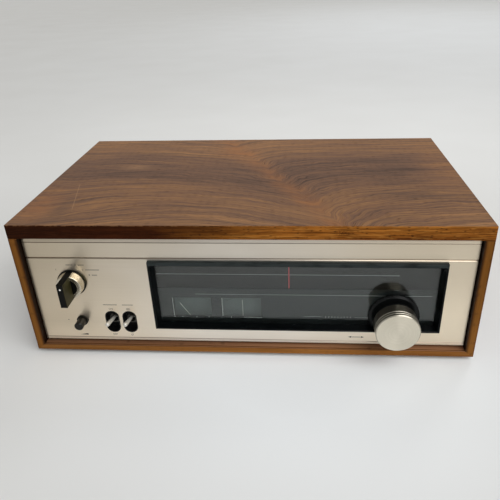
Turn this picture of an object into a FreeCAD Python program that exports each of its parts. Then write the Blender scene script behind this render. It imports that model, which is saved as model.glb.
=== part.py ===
import FreeCAD
import Part
import math
import os

# AM-FM stereo tuner in a wooden cabinet, in millimetres.
# While it is drawn, x runs right, y runs back from the cabinet's front edge and z runs up from its underside.
# At the end everything is moved so that the origin is midway along the depth, at the feet.

V = FreeCAD.Vector
ALONG_X = V(1, 0, 0)
ALONG_Y = V(0, 1, 0)
ALONG_Z = V(0, 0, 1)

# Clearances
RUNNING = 0.05
SEAT = 0.02
LOOSE = 0.3

# Cabinet
CABINET_WIDTH = 440.0
CABINET_DEPTH = 252.0
CABINET_HEIGHT = 144.0
TOP_THICKNESS = 14.0
SIDE_THICKNESS = 8.7
BOTTOM_THICKNESS = 7.0
EDGE_ROUND = 1.0
SHADOW_NOTCH = 0.8
SILL_GROOVE = 1.2
SILL_GROOVE_SETBACK = 0.9
BATTEN_SIZE = 14.0
BATTEN_FRONT = 45.0
BATTEN_BACK_GAP = 8.0

# Feet
FOOT_HEIGHT = 4.0
FOOT_RADIUS = 9.0
FOOT_TAPER = 0.8
FOOT_INSET_X = 30.0
FOOT_INSET_Y = 25.0
FOOT_RECESS_RADIUS = 4.2
FOOT_WEB = 1.8
SCREW_RADIUS = 2.0
SCREW_HEAD_RADIUS = 3.9
SCREW_HEAD_EDGE = 1.2
SCREW_HEAD_HEIGHT = 1.9
SCREW_DEPTH = 4.5
SCREW_POINT = 1.5

# Fascia
FASCIA_SETBACK = 5.0
FASCIA_THICKNESS = 3.5
FASCIA_SIDE_GAP = 1.1
FASCIA_FOOT_GAP = 3.6
FASCIA_HEAD_GAP = 3.0
FASCIA_BEVEL = 2.6
FASCIA_BEVEL_DEPTH = 0.8
GROOVE_DROP = 20.2
GROOVE_WIDTH = 2.0
GROOVE_DEPTH = 0.8
LINE_WIDTH = 0.7
LINE_DEPTH = 0.3
LOW_LINE_RISE = 2.7
HIGH_LINE_DROP = 3.4
PILLAR_RADIUS = 3.0
PILLAR_INSET_X = 7.2
PILLAR_INSET_Z = 5.2

# Window bezel, measured from the fascia's four edges
BEZEL_FROM_LEFT = 117.5
BEZEL_FROM_RIGHT = 25.8
BEZEL_RISE = 17.3
BEZEL_DROP = 22.4
BEZEL_PROUD = 4.5
BEZEL_NECK_DEPTH = 4.5
BEZEL_NECK_INSET = 1.2
BEZEL_SIDE_RAIL = 2.3
BEZEL_TOP_RAIL = 3.7
BEZEL_FOOT_RAIL = 1.9
BEZEL_SIDE_DRAFT = 2.0
BEZEL_FOOT_DRAFT = 0.7
BEZEL_CORNER = 0.8
BEZEL_ARRIS = 0.5

# Dial
GLASS_THICKNESS = 2.5
GLASS_SHAFT_HOLE_RADIUS = 4.5
MASK_THICKNESS = 1.5
MASK_SIDE_MARGIN = 7.3
MASK_FOOT_MARGIN = 7.9
MASK_TOP_MARGIN = 2.8
DIAL_SILL_RISE = 42.1
DIAL_HEAD_DROP = 3.1
DIAL_SIDE_INSET = 3.0
LIGHT_BOX_DEPTH = 5.0
LIGHT_BOX_WALL = 1.5
LIGHT_BOX_SILL_DROP = 6.0
LIGHT_BOX_INSET = 2.0
LIGHT_BOX_TOP_DROP = 2.9
LAMP_RADIUS = 2.2
LAMP_DROP = 9.0

# Meters, measured from the bezel's left and foot
METER_FROM_LEFT = 37.0
METER_PITCH = 49.2
METER_WINDOW_WIDTH = 38.2
METER_WINDOW_HEIGHT = 22.4
METER_WINDOW_RISE = 8.9
METER_CASE_WIDTH = 43.0
METER_CASE_DROP = 14.8
METER_CASE_OVER = 4.0
METER_WALL = 1.2
METER_PIVOT_DROP = 10.1
METER_PIN_RADIUS = 0.8
METER_BOSS_RADIUS = 3.0
METER_SCALE_SETBACK = 7.5
METER_SCALE_THICKNESS = 0.6
NEEDLE_SETBACK = 4.5
NEEDLE_LENGTH = 26.0
NEEDLE_TAIL = 3.5
NEEDLE_WIDTH = 0.5
NEEDLE_THICKNESS = 0.5
NEEDLE_HUB_RADIUS = 2.2
NEEDLE_HUB_LENGTH = 2.0
SIGNAL_NEEDLE_LEAN = 33.0

# Tuning knob, measured from the bezel's right and foot
TUNING_FROM_RIGHT = 43.4
TUNING_RISE = 13.9
TUNING_CAP_RADIUS = 20.7
TUNING_CAP_LENGTH = 16.5
TUNING_CAP_WALL = 2.6
TUNING_CAP_ROUND = 0.9
TUNING_KNOB_GROOVE_PITCH = 3.0
TUNING_KNOB_GROOVE_WIDTH = 0.7
TUNING_KNOB_GROOVE_DEPTH = 0.4
TUNING_KNOB_GROOVES = 2
TUNING_HUB_RADIUS = 21.0
TUNING_HUB_THICKNESS = 1.3
TUNING_HUB_CLEARANCE = 0.7
TUNING_BOSS_RADIUS = 9.0
ESCUTCHEON_RADIUS = 24.5
ESCUTCHEON_THICKNESS = 3.7
ESCUTCHEON_STEP = 1.9
ESCUTCHEON_EDGE = 2.5
SHAFT_RADIUS = 3.0
SHAFT_TAIL = 5.0
BUSH_RADIUS = 5.0
BUSH_FLANGE_RADIUS = 7.0
BUSH_FLANGE = 1.5
BUSH_NUT = 2.0
FLYWHEEL_RADIUS = 16.0
FLYWHEEL_RIM = 4.5
FLYWHEEL_WIDTH = 10.0
FLYWHEEL_WEB = 3.0
FLYWHEEL_SETBACK = 9.0

# Selector knob, measured from the fascia's left edge and foot
SELECTOR_FROM_LEFT = 40.3
SELECTOR_RISE = 69.2
SELECTOR_REACH = 25.5
SELECTOR_BAR_LENGTH = 25.0
SELECTOR_BAR_WIDTH = 6.3
SELECTOR_BAR_ROUND = 0.5
SELECTOR_COLLAR_RADIUS = 13.1
SELECTOR_COLLAR_TAPER = 0.9
SELECTOR_COLLAR_BORE = 8.5
SELECTOR_COLLAR_LENGTH = 8.2
SELECTOR_FLANGE_RADIUS = 14.0
SELECTOR_FLANGE_THICKNESS = 1.5
SELECTOR_SHAFT_GRIP = 9.0
SWITCH_PLATE_RADIUS = 15.0
SWITCH_PLATE = 1.6
SWITCH_WAFER_RADIUS = 13.5
SWITCH_WAFER_PITCH = 9.0
SWITCH_WAFERS = 2
SWITCH_ROD_RADIUS = 1.5
SWITCH_ROD_OFFSET = 11.0

# Level knob, measured from the fascia's left edge and foot
LEVEL_FROM_LEFT = 42.4
LEVEL_RISE = 24.1
LEVEL_REACH = 12.0
LEVEL_RADIUS = 4.4
LEVEL_FLANGE_RADIUS = 5.7
LEVEL_FLANGE_THICKNESS = 1.3
LEVEL_ROUND = 0.7
LEVEL_SHAFT_RADIUS = 3.0
POT_RADIUS = 8.5
POT_LENGTH = 10.0

# Toggle switches, measured from the bezel's left edge and the fascia's foot
TOGGLE_FROM_BEZEL = 26.7
TOGGLE_PITCH = 17.6
TOGGLE_RISE = 22.4
RECESS_WIDTH = 14.3
RECESS_HEIGHT = 26.0
RECESS_DEPTH = 8.0
RECESS_WALL = 0.8
RECESS_FLOOR = 1.2
RECESS_FLANGE = 2.0
RECESS_PROUD = 0.2
TOGGLE_BUSH_RADIUS = 4.6
TOGGLE_BUSH_PROUD = 2.4
TOGGLE_NUT_RADIUS = 5.7
TOGGLE_NUT = 1.5
TOGGLE_BODY_WIDTH = 12.6
TOGGLE_BODY_HEIGHT = 19.0
TOGGLE_BODY_DEPTH = 17.0
TOGGLE_PIVOT_DEPTH = 2.8
TOGGLE_BALL_RADIUS = 2.4
TOGGLE_STEM_RADIUS = 1.4
TOGGLE_TIP_RADIUS = 2.1
TOGGLE_LENGTH = 28.4
TOGGLE_TILT = 14.7
TOGGLE_TILT_SPARE = 1.0

# Chassis
STEEL = 1.2
SUBPANEL_SPACING = 25.5
SUBPANEL_HEAD_GAP = 4.0
CHASSIS_SIDE_GAP = 6.3
CHASSIS_FLANGE = 12.0
REAR_RECESS = 20.0
REAR_PANEL_GAP = 0.6
REAR_PANEL_FOOT_GAP = 1.6
REAR_PANEL_HEAD_GAP = 1.5

# Dial drive, all in one plane behind the dial
CORD_RADIUS = 0.4
CORD_SETBACK = 19.0
SPINDLE_RADIUS = 4.0
SPINDLE_FLANGE_RADIUS = 5.2
SPINDLE_FLANGE = 1.0
SPINDLE_WIDTH = 4.2
PULLEY_RADIUS = 5.0
PULLEY_RIM = 1.2
PULLEY_WIDTH = 4.0
PULLEY_GROOVE = 1.4
PULLEY_OUTSET = 2.0
POST_RADIUS = 1.5
POST_HEAD_RADIUS = 2.6
POST_HEAD = 1.0
PULLEY_LIFT = 4.9
DRUM_RADIUS = 32.0
DRUM_RIM = 1.5
DRUM_RIM_DEPTH = 4.5
DRUM_WIDTH = 5.0
DRUM_WEB = 2.0
DRUM_HUB_RADIUS = 7.0
DRUM_HUB_PROUD = 1.0
DRUM_HOLE_RADIUS = 6.0
DRUM_HOLES = 4
DRUM_RISE = 29.1
RAIL_RADIUS = 1.5
RAIL_DROP = 5.5
RAIL_SETBACK = 14.0
RAIL_BRACKET = 1.6
RAIL_BRACKET_HALF = 4.0
RAIL_BRACKET_FOOT = 8.0
RAIL_BRACKET_OUTSET = 10.0
CARRIAGE_WIDTH = 16.0
CARRIAGE_FRONT = 3.4
CARRIAGE_DEPTH = 11.5
CARRIAGE_UNDER = 3.0
CARRIAGE_OVER = 2.5
CARRIAGE_LIP = 2.5
POINTER_X = 40.0
POINTER_WIDTH = 1.0
POINTER_THICKNESS = 0.8
POINTER_GAP = 1.9
POINTER_TIP_DROP = 2.0
POINTER_ARM_WIDTH = 3.0
POINTER_ARM_THICKNESS = 1.2

# Gang capacitor and its gears
PINION_TEETH = 16
GEAR_TEETH = 32
GEAR_MODULE = 1.0
GEAR_BACKLASH = 0.16
PRESSURE_ANGLE = 20.0
ADDENDUM = 0.9
DEDENDUM = 1.2
GEAR_WIDTH = 2.4
PINION_WIDTH = 2.8
GEAR_SETBACK = 2.4
GANG_WIDTH = 48.0
GANG_HEIGHT = 47.0
GANG_LENGTH = 58.0
GANG_WALL = 1.5
GANG_SETBACK = 7.0
GANG_LEG = 3.8
ROTOR_PLATE_RADIUS = 17.0
ROTOR_HUB_RADIUS = 4.5
PLATE_THICKNESS = 0.6
PLATE_PITCH = 5.0
PLATES = 9
STATOR_BORE = 7.0
STATOR_LIFT = 1.0
STATOR_ROD_RADIUS = 1.2
STATOR_ROD_OFFSET = 19.5
STATOR_ROD_RISE = 18.0

# Board and its parts
BOARD_LEFT_GAP = 15.0
BOARD_GANG_GAP = 30.0
BOARD_FRONT_GAP = 40.0
BOARD_BACK_GAP = 25.0
BOARD_THICKNESS = 1.6
BOARD_LIFT = 9.8
SPACER_RADIUS = 3.0
SPACER_INSET = 8.0
CAN_SIZE = 8.0
CAN_HEIGHT = 13.0
CANS = 6
CAN_ROW_INSET = 40.0
ELCO_RADIUS = 5.0
ELCO_HEIGHT = 16.0
ELCOS = 5
ELCO_FILTER_GAP = 27.0
FILTER_RADIUS = 11.0
FILTER_HEIGHT = 38.0
FILTER_INSET = 18.0
FILTER_PITCH = 26.0

# Power transformer
CORE_WIDTH = 56.0
CORE_HEIGHT = 46.0
CORE_STACK = 24.0
CORE_LEG = 9.0
WINDING_OVERHANG = 9.0
CORE_RIGHT_GAP = 40.0
CORE_BACK_GAP = 40.0

# Rear connections, measured from the cabinet's middle and from the rear panel's foot
MOULDED_EDGE = 1.0
JACK_X = -150.0
JACK_RISE = 26.0
JACK_PITCH_X = 20.0
JACK_PITCH_Z = 20.0
JACK_SHELL_RADIUS = 4.15
JACK_SHELL_LENGTH = 8.5
JACK_FLANGE_RADIUS = 6.5
JACK_FLANGE = 1.5
JACK_BODY_LENGTH = 6.0
JACK_HOLE_RADIUS = 1.7
JACK_HOLE_DEPTH = 7.0
TERMINAL_X = -40.0
TERMINAL_RISE = 32.0
TERMINAL_PITCH = 14.0
TERMINALS = 5
TERMINAL_HEIGHT = 18.0
TERMINAL_DEPTH = 7.0
TERMINAL_WELL = 2.0
TERMINAL_WELL_RADIUS = 5.2
TERMINAL_SCREW_RADIUS = 3.6
TERMINAL_SCREW_HEAD = 2.4
FUSE_X = 120.0
FUSE_RISE = 30.0
FUSE_FLANGE_RADIUS = 8.5
FUSE_CAP_RADIUS = 6.5
FUSE_CAP_LENGTH = 9.0
FUSE_BODY_LENGTH = 30.0
GROMMET_X = 175.0
GROMMET_RISE = 21.0
GROMMET_RADIUS = 8.0
GROMMET_NECK_RADIUS = 6.4
GROMMET_BORE = 3.4
GROMMET_LIP = 2.2
AERIAL_X = 168.0
AERIAL_DROP = 24.4
AERIAL_STANDOFF = 9.0
AERIAL_RADIUS = 6.0
AERIAL_ROUND = 0.6
AERIAL_LENGTH = 165.0
AERIAL_TONGUE = 13.0
AERIAL_TONGUE_HALF = 4.0
AERIAL_TONGUE_THICKNESS = 6.0
AERIAL_PIN_RADIUS = 1.5
AERIAL_LUG = 1.7
AERIAL_LUG_HALF = 6.0
AERIAL_PLATE_WIDTH = 22.0
AERIAL_PLATE_MARGIN = 7.0
AERIAL_PIN_HEAD = 1.0
AERIAL_PIN_HEAD_RADIUS = 2.6

# Places that follow from the sizes above
HALF_WIDTH = CABINET_WIDTH / 2
INNER_HALF = HALF_WIDTH - SIDE_THICKNESS
SLAB_UNDERSIDE = CABINET_HEIGHT - TOP_THICKNESS
FASCIA_FRONT = FASCIA_SETBACK
FASCIA_BACK = FASCIA_FRONT + FASCIA_THICKNESS
FASCIA_HALF = INNER_HALF - FASCIA_SIDE_GAP
FASCIA_FOOT = BOTTOM_THICKNESS + FASCIA_FOOT_GAP
FASCIA_TOP = SLAB_UNDERSIDE - FASCIA_HEAD_GAP
SUBPANEL_FRONT = FASCIA_BACK + SUBPANEL_SPACING
SUBPANEL_BACK = SUBPANEL_FRONT + STEEL
CHASSIS_HALF = INNER_HALF - CHASSIS_SIDE_GAP
TRAY_TOP = BOTTOM_THICKNESS + STEEL
REAR_FACE = CABINET_DEPTH - REAR_RECESS
REAR_PANEL_FRONT = REAR_FACE - STEEL
REAR_FOOT = BOTTOM_THICKNESS + REAR_PANEL_FOOT_GAP

BEZEL_LEFT = BEZEL_FROM_LEFT - FASCIA_HALF
BEZEL_RIGHT = FASCIA_HALF - BEZEL_FROM_RIGHT
BEZEL_FOOT = FASCIA_FOOT + BEZEL_RISE
BEZEL_TOP = FASCIA_TOP - BEZEL_DROP
BEZEL_FRONT = FASCIA_FRONT - BEZEL_PROUD
GLASS_FRONT = FASCIA_FRONT + BEZEL_NECK_DEPTH
GLASS_BACK = GLASS_FRONT + GLASS_THICKNESS
MASK_BACK = GLASS_BACK + MASK_THICKNESS
BACKPLATE_FRONT = MASK_BACK + LIGHT_BOX_DEPTH
BACKPLATE_BACK = BACKPLATE_FRONT + LIGHT_BOX_WALL
DIAL_SILL = BEZEL_FOOT + DIAL_SILL_RISE
LIGHT_BOX_FOOT = DIAL_SILL - LIGHT_BOX_SILL_DROP
LIGHT_BOX_TOP = BEZEL_TOP + MASK_TOP_MARGIN - LIGHT_BOX_TOP_DROP
LIGHT_BOX_LEFT = BEZEL_LEFT - MASK_SIDE_MARGIN + LIGHT_BOX_INSET
LIGHT_BOX_RIGHT = BEZEL_RIGHT + MASK_SIDE_MARGIN - LIGHT_BOX_INSET
METER_CENTRES = [BEZEL_LEFT + METER_FROM_LEFT + i * METER_PITCH for i in range(2)]
METER_WINDOW_FOOT = BEZEL_FOOT + METER_WINDOW_RISE
METER_PIVOT_Z = METER_WINDOW_FOOT - METER_PIVOT_DROP
NEEDLE_Y = MASK_BACK + NEEDLE_SETBACK
SCALE_Y = MASK_BACK + METER_SCALE_SETBACK

TUNING_X = BEZEL_RIGHT - TUNING_FROM_RIGHT
TUNING_Z = BEZEL_FOOT + TUNING_RISE
HUB_BACK = BEZEL_FRONT - TUNING_HUB_CLEARANCE
HUB_FRONT = HUB_BACK - TUNING_HUB_THICKNESS
CAP_FRONT = HUB_FRONT - TUNING_CAP_LENGTH
ESCUTCHEON_FRONT = GLASS_FRONT - ESCUTCHEON_THICKNESS
SELECTOR_X = SELECTOR_FROM_LEFT - FASCIA_HALF
SELECTOR_Z = FASCIA_FOOT + SELECTOR_RISE
SELECTOR_FRONT = FASCIA_FRONT - SELECTOR_REACH
LEVEL_X = LEVEL_FROM_LEFT - FASCIA_HALF
LEVEL_Z = FASCIA_FOOT + LEVEL_RISE
TOGGLE_XS = [BEZEL_LEFT - TOGGLE_FROM_BEZEL - i * TOGGLE_PITCH for i in (1, 0)]
TOGGLE_Z = FASCIA_FOOT + TOGGLE_RISE
RECESS_FLOOR_Y = FASCIA_FRONT + RECESS_DEPTH
TOGGLE_BODY_FRONT = RECESS_FLOOR_Y + RECESS_FLOOR
TOGGLE_PIVOT_Y = TOGGLE_BODY_FRONT + TOGGLE_PIVOT_DEPTH

CORD_Y = FASCIA_BACK + CORD_SETBACK
PULLEY_Z = BEZEL_TOP + PULLEY_LIFT
CORD_TOP = PULLEY_Z + PULLEY_RADIUS
PULLEY_LEFT_X = BEZEL_LEFT - PULLEY_OUTSET
PULLEY_RIGHT_X = BEZEL_RIGHT - PULLEY_OUTSET
METERS_RIGHT = METER_CENTRES[-1] + METER_CASE_WIDTH / 2
DRUM_X = (METERS_RIGHT + TUNING_X) / 2
DRUM_Z = BEZEL_FOOT + DRUM_RISE
PULLEY_CENTRE_X = DRUM_X - DRUM_RADIUS - PULLEY_RADIUS
PULLEY_CENTRE_Z = PULLEY_Z - 2 * PULLEY_RADIUS
RAIL_Y = FASCIA_BACK + RAIL_SETBACK
RAIL_Z = CORD_TOP - RAIL_DROP
RAIL_LEFT = PULLEY_LEFT_X - RAIL_BRACKET_OUTSET
RAIL_RIGHT = PULLEY_RIGHT_X + RAIL_BRACKET_OUTSET
CARRIAGE_Y = RAIL_Y - CARRIAGE_FRONT
POINTER_Y = MASK_BACK + POINTER_GAP
GEAR_DISTANCE = GEAR_MODULE * (PINION_TEETH + GEAR_TEETH) / 2
GEAR_Y = SUBPANEL_BACK + GEAR_SETBACK
GANG_X = DRUM_X
GANG_Z = DRUM_Z - GEAR_DISTANCE
GANG_FRONT = SUBPANEL_BACK + GANG_SETBACK
GANG_BACK = GANG_FRONT + GANG_LENGTH
GANG_FOOT = TRAY_TOP + GANG_LEG
FIRST_STATOR_Y = GANG_FRONT + GANG_WALL + PLATE_PITCH / 2
BOARD_LEFT = BOARD_LEFT_GAP - CHASSIS_HALF
BOARD_RIGHT = GANG_X - GANG_WIDTH / 2 - BOARD_GANG_GAP
BOARD_FRONT = SUBPANEL_BACK + BOARD_FRONT_GAP
BOARD_BACK = REAR_PANEL_FRONT - BOARD_BACK_GAP
BOARD_UNDER = TRAY_TOP + BOARD_LIFT
BOARD_TOP = BOARD_UNDER + BOARD_THICKNESS
TERMINAL_Z = REAR_FOOT + TERMINAL_RISE
AERIAL_Y = REAR_FACE + AERIAL_STANDOFF
AERIAL_Z = SLAB_UNDERSIDE - REAR_PANEL_HEAD_GAP - AERIAL_DROP
FOOT_PLACES = [(sx * (HALF_WIDTH - FOOT_INSET_X), y)
               for sx in (-1, 1) for y in (FOOT_INSET_Y, CABINET_DEPTH - FOOT_INSET_Y)]


# Helpers

def box(x, y, z):
    """Box between two limits on each axis."""
    return Part.makeBox(x[1] - x[0], y[1] - y[0], z[1] - z[0], V(x[0], y[0], z[0]))


def rod_x(y, z, radius, start, end):
    return Part.makeCylinder(radius, end - start, V(start, y, z), ALONG_X)


def rod_y(x, z, radius, start, end):
    return Part.makeCylinder(radius, end - start, V(x, start, z), ALONG_Y)


def rod_z(x, y, radius, start, end):
    return Part.makeCylinder(radius, end - start, V(x, y, start), ALONG_Z)


def turned_y(x, z, outline):
    """Body of revolution about the line along y through (x, z); the outline is (radius, y) points."""
    points = [V(x + radius, y, z) for radius, y in outline]
    face = Part.Face(Part.makePolygon(points + points[:1]))
    return face.revolve(V(x, 0, z), ALONG_Y, 360)


def turned_z(x, y, outline):
    points = [V(x + radius, y, z) for radius, z in outline]
    face = Part.Face(Part.makePolygon(points + points[:1]))
    return face.revolve(V(x, y, 0), ALONG_Z, 360)


def prism_y(outline, start, end):
    """Outline of (x, z) points, extruded along y."""
    points = [V(x, start, z) for x, z in outline]
    return Part.Face(Part.makePolygon(points + points[:1])).extrude(V(0, end - start, 0))


def prism_x(outline, start, end):
    """Outline of (y, z) points, extruded along x."""
    points = [V(start, y, z) for y, z in outline]
    return Part.Face(Part.makePolygon(points + points[:1])).extrude(V(end - start, 0, 0))


def obround_y(x, z, width, height, start, end):
    """Upright slot shape with round ends, extruded along y."""
    r = width / 2
    h = height / 2 - r
    top = Part.Arc(V(x + r, start, z + h), V(x, start, z + h + r), V(x - r, start, z + h)).toShape()
    left = Part.LineSegment(V(x - r, start, z + h), V(x - r, start, z - h)).toShape()
    foot = Part.Arc(V(x - r, start, z - h), V(x, start, z - h - r), V(x + r, start, z - h)).toShape()
    right = Part.LineSegment(V(x + r, start, z - h), V(x + r, start, z + h)).toShape()
    return Part.Face(Part.Wire([top, left, foot, right])).extrude(V(0, end - start, 0))


def rectangle_y(x, z, y):
    """Closed wire between two limits in x and z, at one depth."""
    points = [V(x[0], y, z[0]), V(x[1], y, z[0]), V(x[1], y, z[1]), V(x[0], y, z[1])]
    return Part.makePolygon(points + points[:1])


def fused(shapes):
    return shapes[0].fuse(shapes[1:]).removeSplitter()


def edges_at_front(shape, y):
    """Edges that lie wholly at one depth."""
    return [e for e in shape.Edges if all(abs(v.Point.y - y) < 1e-6 for v in e.Vertexes)]


def gear_y(x, z, teeth, start, end, tooth_angle):
    """Spur gear on an axis along y. One tooth's middle points along tooth_angle, from +x towards +z."""
    pitch_radius = GEAR_MODULE * teeth / 2
    base_radius = pitch_radius * math.cos(math.radians(PRESSURE_ANGLE))
    root_radius = pitch_radius - DEDENDUM * GEAR_MODULE
    tip_radius = pitch_radius + ADDENDUM * GEAR_MODULE

    def roll(radius):
        angle = math.acos(min(1.0, base_radius / radius))
        return math.tan(angle) - angle

    half_tooth = math.pi / (2 * teeth) - GEAR_BACKLASH / (2 * pitch_radius)
    flank = [max(base_radius, root_radius), pitch_radius, tip_radius]
    outline = []
    for i in range(teeth):
        middle = math.radians(tooth_angle) + 2 * math.pi * i / teeth
        offsets = [half_tooth + roll(pitch_radius) - roll(r) for r in flank]
        tooth = [(root_radius, -offsets[0])] + [(r, -a) for r, a in zip(flank, offsets)]
        tooth += [(r, a) for r, a in reversed(list(zip(flank, offsets)))] + [(root_radius, offsets[0])]
        outline += [(x + r * math.cos(middle + a), z + r * math.sin(middle + a)) for r, a in tooth]
    return prism_y(outline, start, end)


# Cabinet

def cabinet_envelope():
    """The whole cabinet as one block with its outer edges rounded."""
    block = box((-HALF_WIDTH, HALF_WIDTH), (0, CABINET_DEPTH), (0, CABINET_HEIGHT))
    return block.makeFillet(EDGE_ROUND, block.Edges)


def cabinet_top():
    slab = box((-HALF_WIDTH, HALF_WIDTH), (0, CABINET_DEPTH), (SLAB_UNDERSIDE, CABINET_HEIGHT))
    return slab.common(cabinet_envelope())


def cabinet_side(side):
    """side is -1 for the left panel and 1 for the right one; the foot is mitred to the bottom panel."""
    outline = [(side * HALF_WIDTH, 0), (side * INNER_HALF, BOTTOM_THICKNESS),
               (side * INNER_HALF, SLAB_UNDERSIDE), (side * HALF_WIDTH, SLAB_UNDERSIDE)]
    panel = prism_y(outline, 0, CABINET_DEPTH).common(cabinet_envelope())
    notch_z = (SLAB_UNDERSIDE - SHADOW_NOTCH, SLAB_UNDERSIDE)
    outer = sorted((side * HALF_WIDTH, side * (HALF_WIDTH - SHADOW_NOTCH)))
    across = sorted((side * HALF_WIDTH, side * INNER_HALF))
    panel = panel.cut(box(outer, (0, CABINET_DEPTH), notch_z))
    return panel.cut(box(across, (0, SHADOW_NOTCH), notch_z))


def screw_end():
    """The end of a foot's screw, as (radius, z) points from the bottom panel's underside up."""
    return [(SCREW_RADIUS, 0), (SCREW_RADIUS, SCREW_DEPTH), (0, SCREW_DEPTH + SCREW_POINT)]


def cabinet_bottom():
    outline = [(-HALF_WIDTH, 0), (HALF_WIDTH, 0), (INNER_HALF, BOTTOM_THICKNESS),
               (-INNER_HALF, BOTTOM_THICKNESS)]
    panel = prism_y(outline, 0, CABINET_DEPTH).common(cabinet_envelope())
    groove_y = (SILL_GROOVE_SETBACK, SILL_GROOVE_SETBACK + SILL_GROOVE)
    groove_z = (BOTTOM_THICKNESS - SILL_GROOVE_SETBACK, BOTTOM_THICKNESS)
    panel = panel.cut(box((-INNER_HALF, INNER_HALF), groove_y, groove_z))
    for x, y in FOOT_PLACES:
        panel = panel.cut(turned_z(x, y, [(0, 0)] + screw_end()))
    return panel


def cabinet_battens():
    """Two glue battens in the corners under the slab."""
    y = (BATTEN_FRONT, REAR_PANEL_FRONT - BATTEN_BACK_GAP)
    z = (SLAB_UNDERSIDE - BATTEN_SIZE, SLAB_UNDERSIDE)
    left = box((-INNER_HALF, BATTEN_SIZE - INNER_HALF), y, z)
    right = box((INNER_HALF - BATTEN_SIZE, INNER_HALF), y, z)
    return Part.makeCompound([left, right])


def feet():
    outline = [(SCREW_RADIUS + RUNNING, 0), (FOOT_RADIUS, 0), (FOOT_RADIUS, FOOT_TAPER - FOOT_HEIGHT),
               (FOOT_RADIUS - FOOT_TAPER, -FOOT_HEIGHT), (FOOT_RECESS_RADIUS, -FOOT_HEIGHT),
               (FOOT_RECESS_RADIUS, -FOOT_WEB), (SCREW_RADIUS + RUNNING, -FOOT_WEB)]
    return Part.makeCompound([turned_z(x, y, outline) for x, y in FOOT_PLACES])


def fixing_screws():
    """The feet's screws and the clamping screws of the aerial terminals."""
    head_foot = -FOOT_WEB - SCREW_HEAD_HEIGHT
    outline = [(0, head_foot), (SCREW_HEAD_RADIUS - SCREW_HEAD_EDGE, head_foot),
               (SCREW_HEAD_RADIUS, -FOOT_WEB), (SCREW_RADIUS, -FOOT_WEB)] + screw_end()
    screws = [turned_z(x, y, outline) for x, y in FOOT_PLACES]
    front = REAR_FACE + TERMINAL_DEPTH - TERMINAL_WELL
    back = front + TERMINAL_SCREW_HEAD
    screws += [rod_y(x, TERMINAL_Z, TERMINAL_SCREW_RADIUS, front, back) for x in terminal_places()]
    return Part.makeCompound(screws)


# Fascia

def groove_points(z, width, depth):
    return [(FASCIA_FRONT, z - width / 2), (FASCIA_FRONT + depth, z), (FASCIA_FRONT, z + width / 2)]


def fascia():
    outline = [(FASCIA_FRONT, FASCIA_FOOT)]
    outline += groove_points(FASCIA_FOOT + LOW_LINE_RISE, LINE_WIDTH, LINE_DEPTH)
    outline += groove_points(FASCIA_TOP - GROOVE_DROP, GROOVE_WIDTH, GROOVE_DEPTH)
    outline += groove_points(FASCIA_TOP - HIGH_LINE_DROP, LINE_WIDTH, LINE_DEPTH)
    outline += [(FASCIA_FRONT, FASCIA_TOP - FASCIA_BEVEL), (FASCIA_FRONT + FASCIA_BEVEL_DEPTH, FASCIA_TOP),
                (FASCIA_BACK, FASCIA_TOP), (FASCIA_BACK, FASCIA_FOOT)]
    plate = prism_x(outline, -FASCIA_HALF, FASCIA_HALF)
    through = (FASCIA_FRONT, FASCIA_BACK)
    inset = BEZEL_NECK_INSET - SEAT
    plate = plate.cut(box((BEZEL_LEFT + inset, BEZEL_RIGHT - inset), through,
                          (BEZEL_FOOT + inset, BEZEL_TOP - inset)))
    plate = plate.cut(rod_y(SELECTOR_X, SELECTOR_Z, SHAFT_RADIUS + LOOSE, *through))
    plate = plate.cut(rod_y(LEVEL_X, LEVEL_Z, LEVEL_SHAFT_RADIUS + LOOSE, *through))
    for x in TOGGLE_XS:
        plate = plate.cut(obround_y(x, TOGGLE_Z, RECESS_WIDTH, RECESS_HEIGHT, *through))
    return plate


def fascia_pillars():
    places = [(x, z) for x in (PILLAR_INSET_X - FASCIA_HALF, 0, FASCIA_HALF - PILLAR_INSET_X)
              for z in (FASCIA_FOOT + PILLAR_INSET_Z, FASCIA_TOP - PILLAR_INSET_Z)]
    return Part.makeCompound([rod_y(x, z, PILLAR_RADIUS, FASCIA_BACK, SUBPANEL_FRONT) for x, z in places])


# Window and dial

def window_bezel():
    frame = box((BEZEL_LEFT, BEZEL_RIGHT), (BEZEL_FRONT, FASCIA_FRONT), (BEZEL_FOOT, BEZEL_TOP))
    frame = frame.makeFillet(BEZEL_CORNER, edges_at_front(frame, BEZEL_FRONT))
    neck = box((BEZEL_LEFT + BEZEL_NECK_INSET, BEZEL_RIGHT - BEZEL_NECK_INSET), (FASCIA_FRONT, GLASS_FRONT),
               (BEZEL_FOOT + BEZEL_NECK_INSET, BEZEL_TOP - BEZEL_NECK_INSET))
    left = BEZEL_LEFT + BEZEL_SIDE_RAIL
    right = BEZEL_RIGHT - BEZEL_SIDE_RAIL
    foot = BEZEL_FOOT + BEZEL_FOOT_RAIL
    top = BEZEL_TOP - BEZEL_TOP_RAIL
    arris = rectangle_y((left - BEZEL_ARRIS, right + BEZEL_ARRIS), (foot - BEZEL_ARRIS, top + BEZEL_ARRIS),
                        BEZEL_FRONT)
    mouth = rectangle_y((left, right), (foot, top), BEZEL_FRONT + BEZEL_ARRIS)
    throat = rectangle_y((left + BEZEL_SIDE_DRAFT, right - BEZEL_SIDE_DRAFT),
                         (foot + BEZEL_FOOT_DRAFT, top - BEZEL_FOOT_DRAFT), GLASS_FRONT)
    opening = Part.makeLoft([arris, mouth, throat], True, True)
    return fused([frame, neck]).cut(opening)


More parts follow.
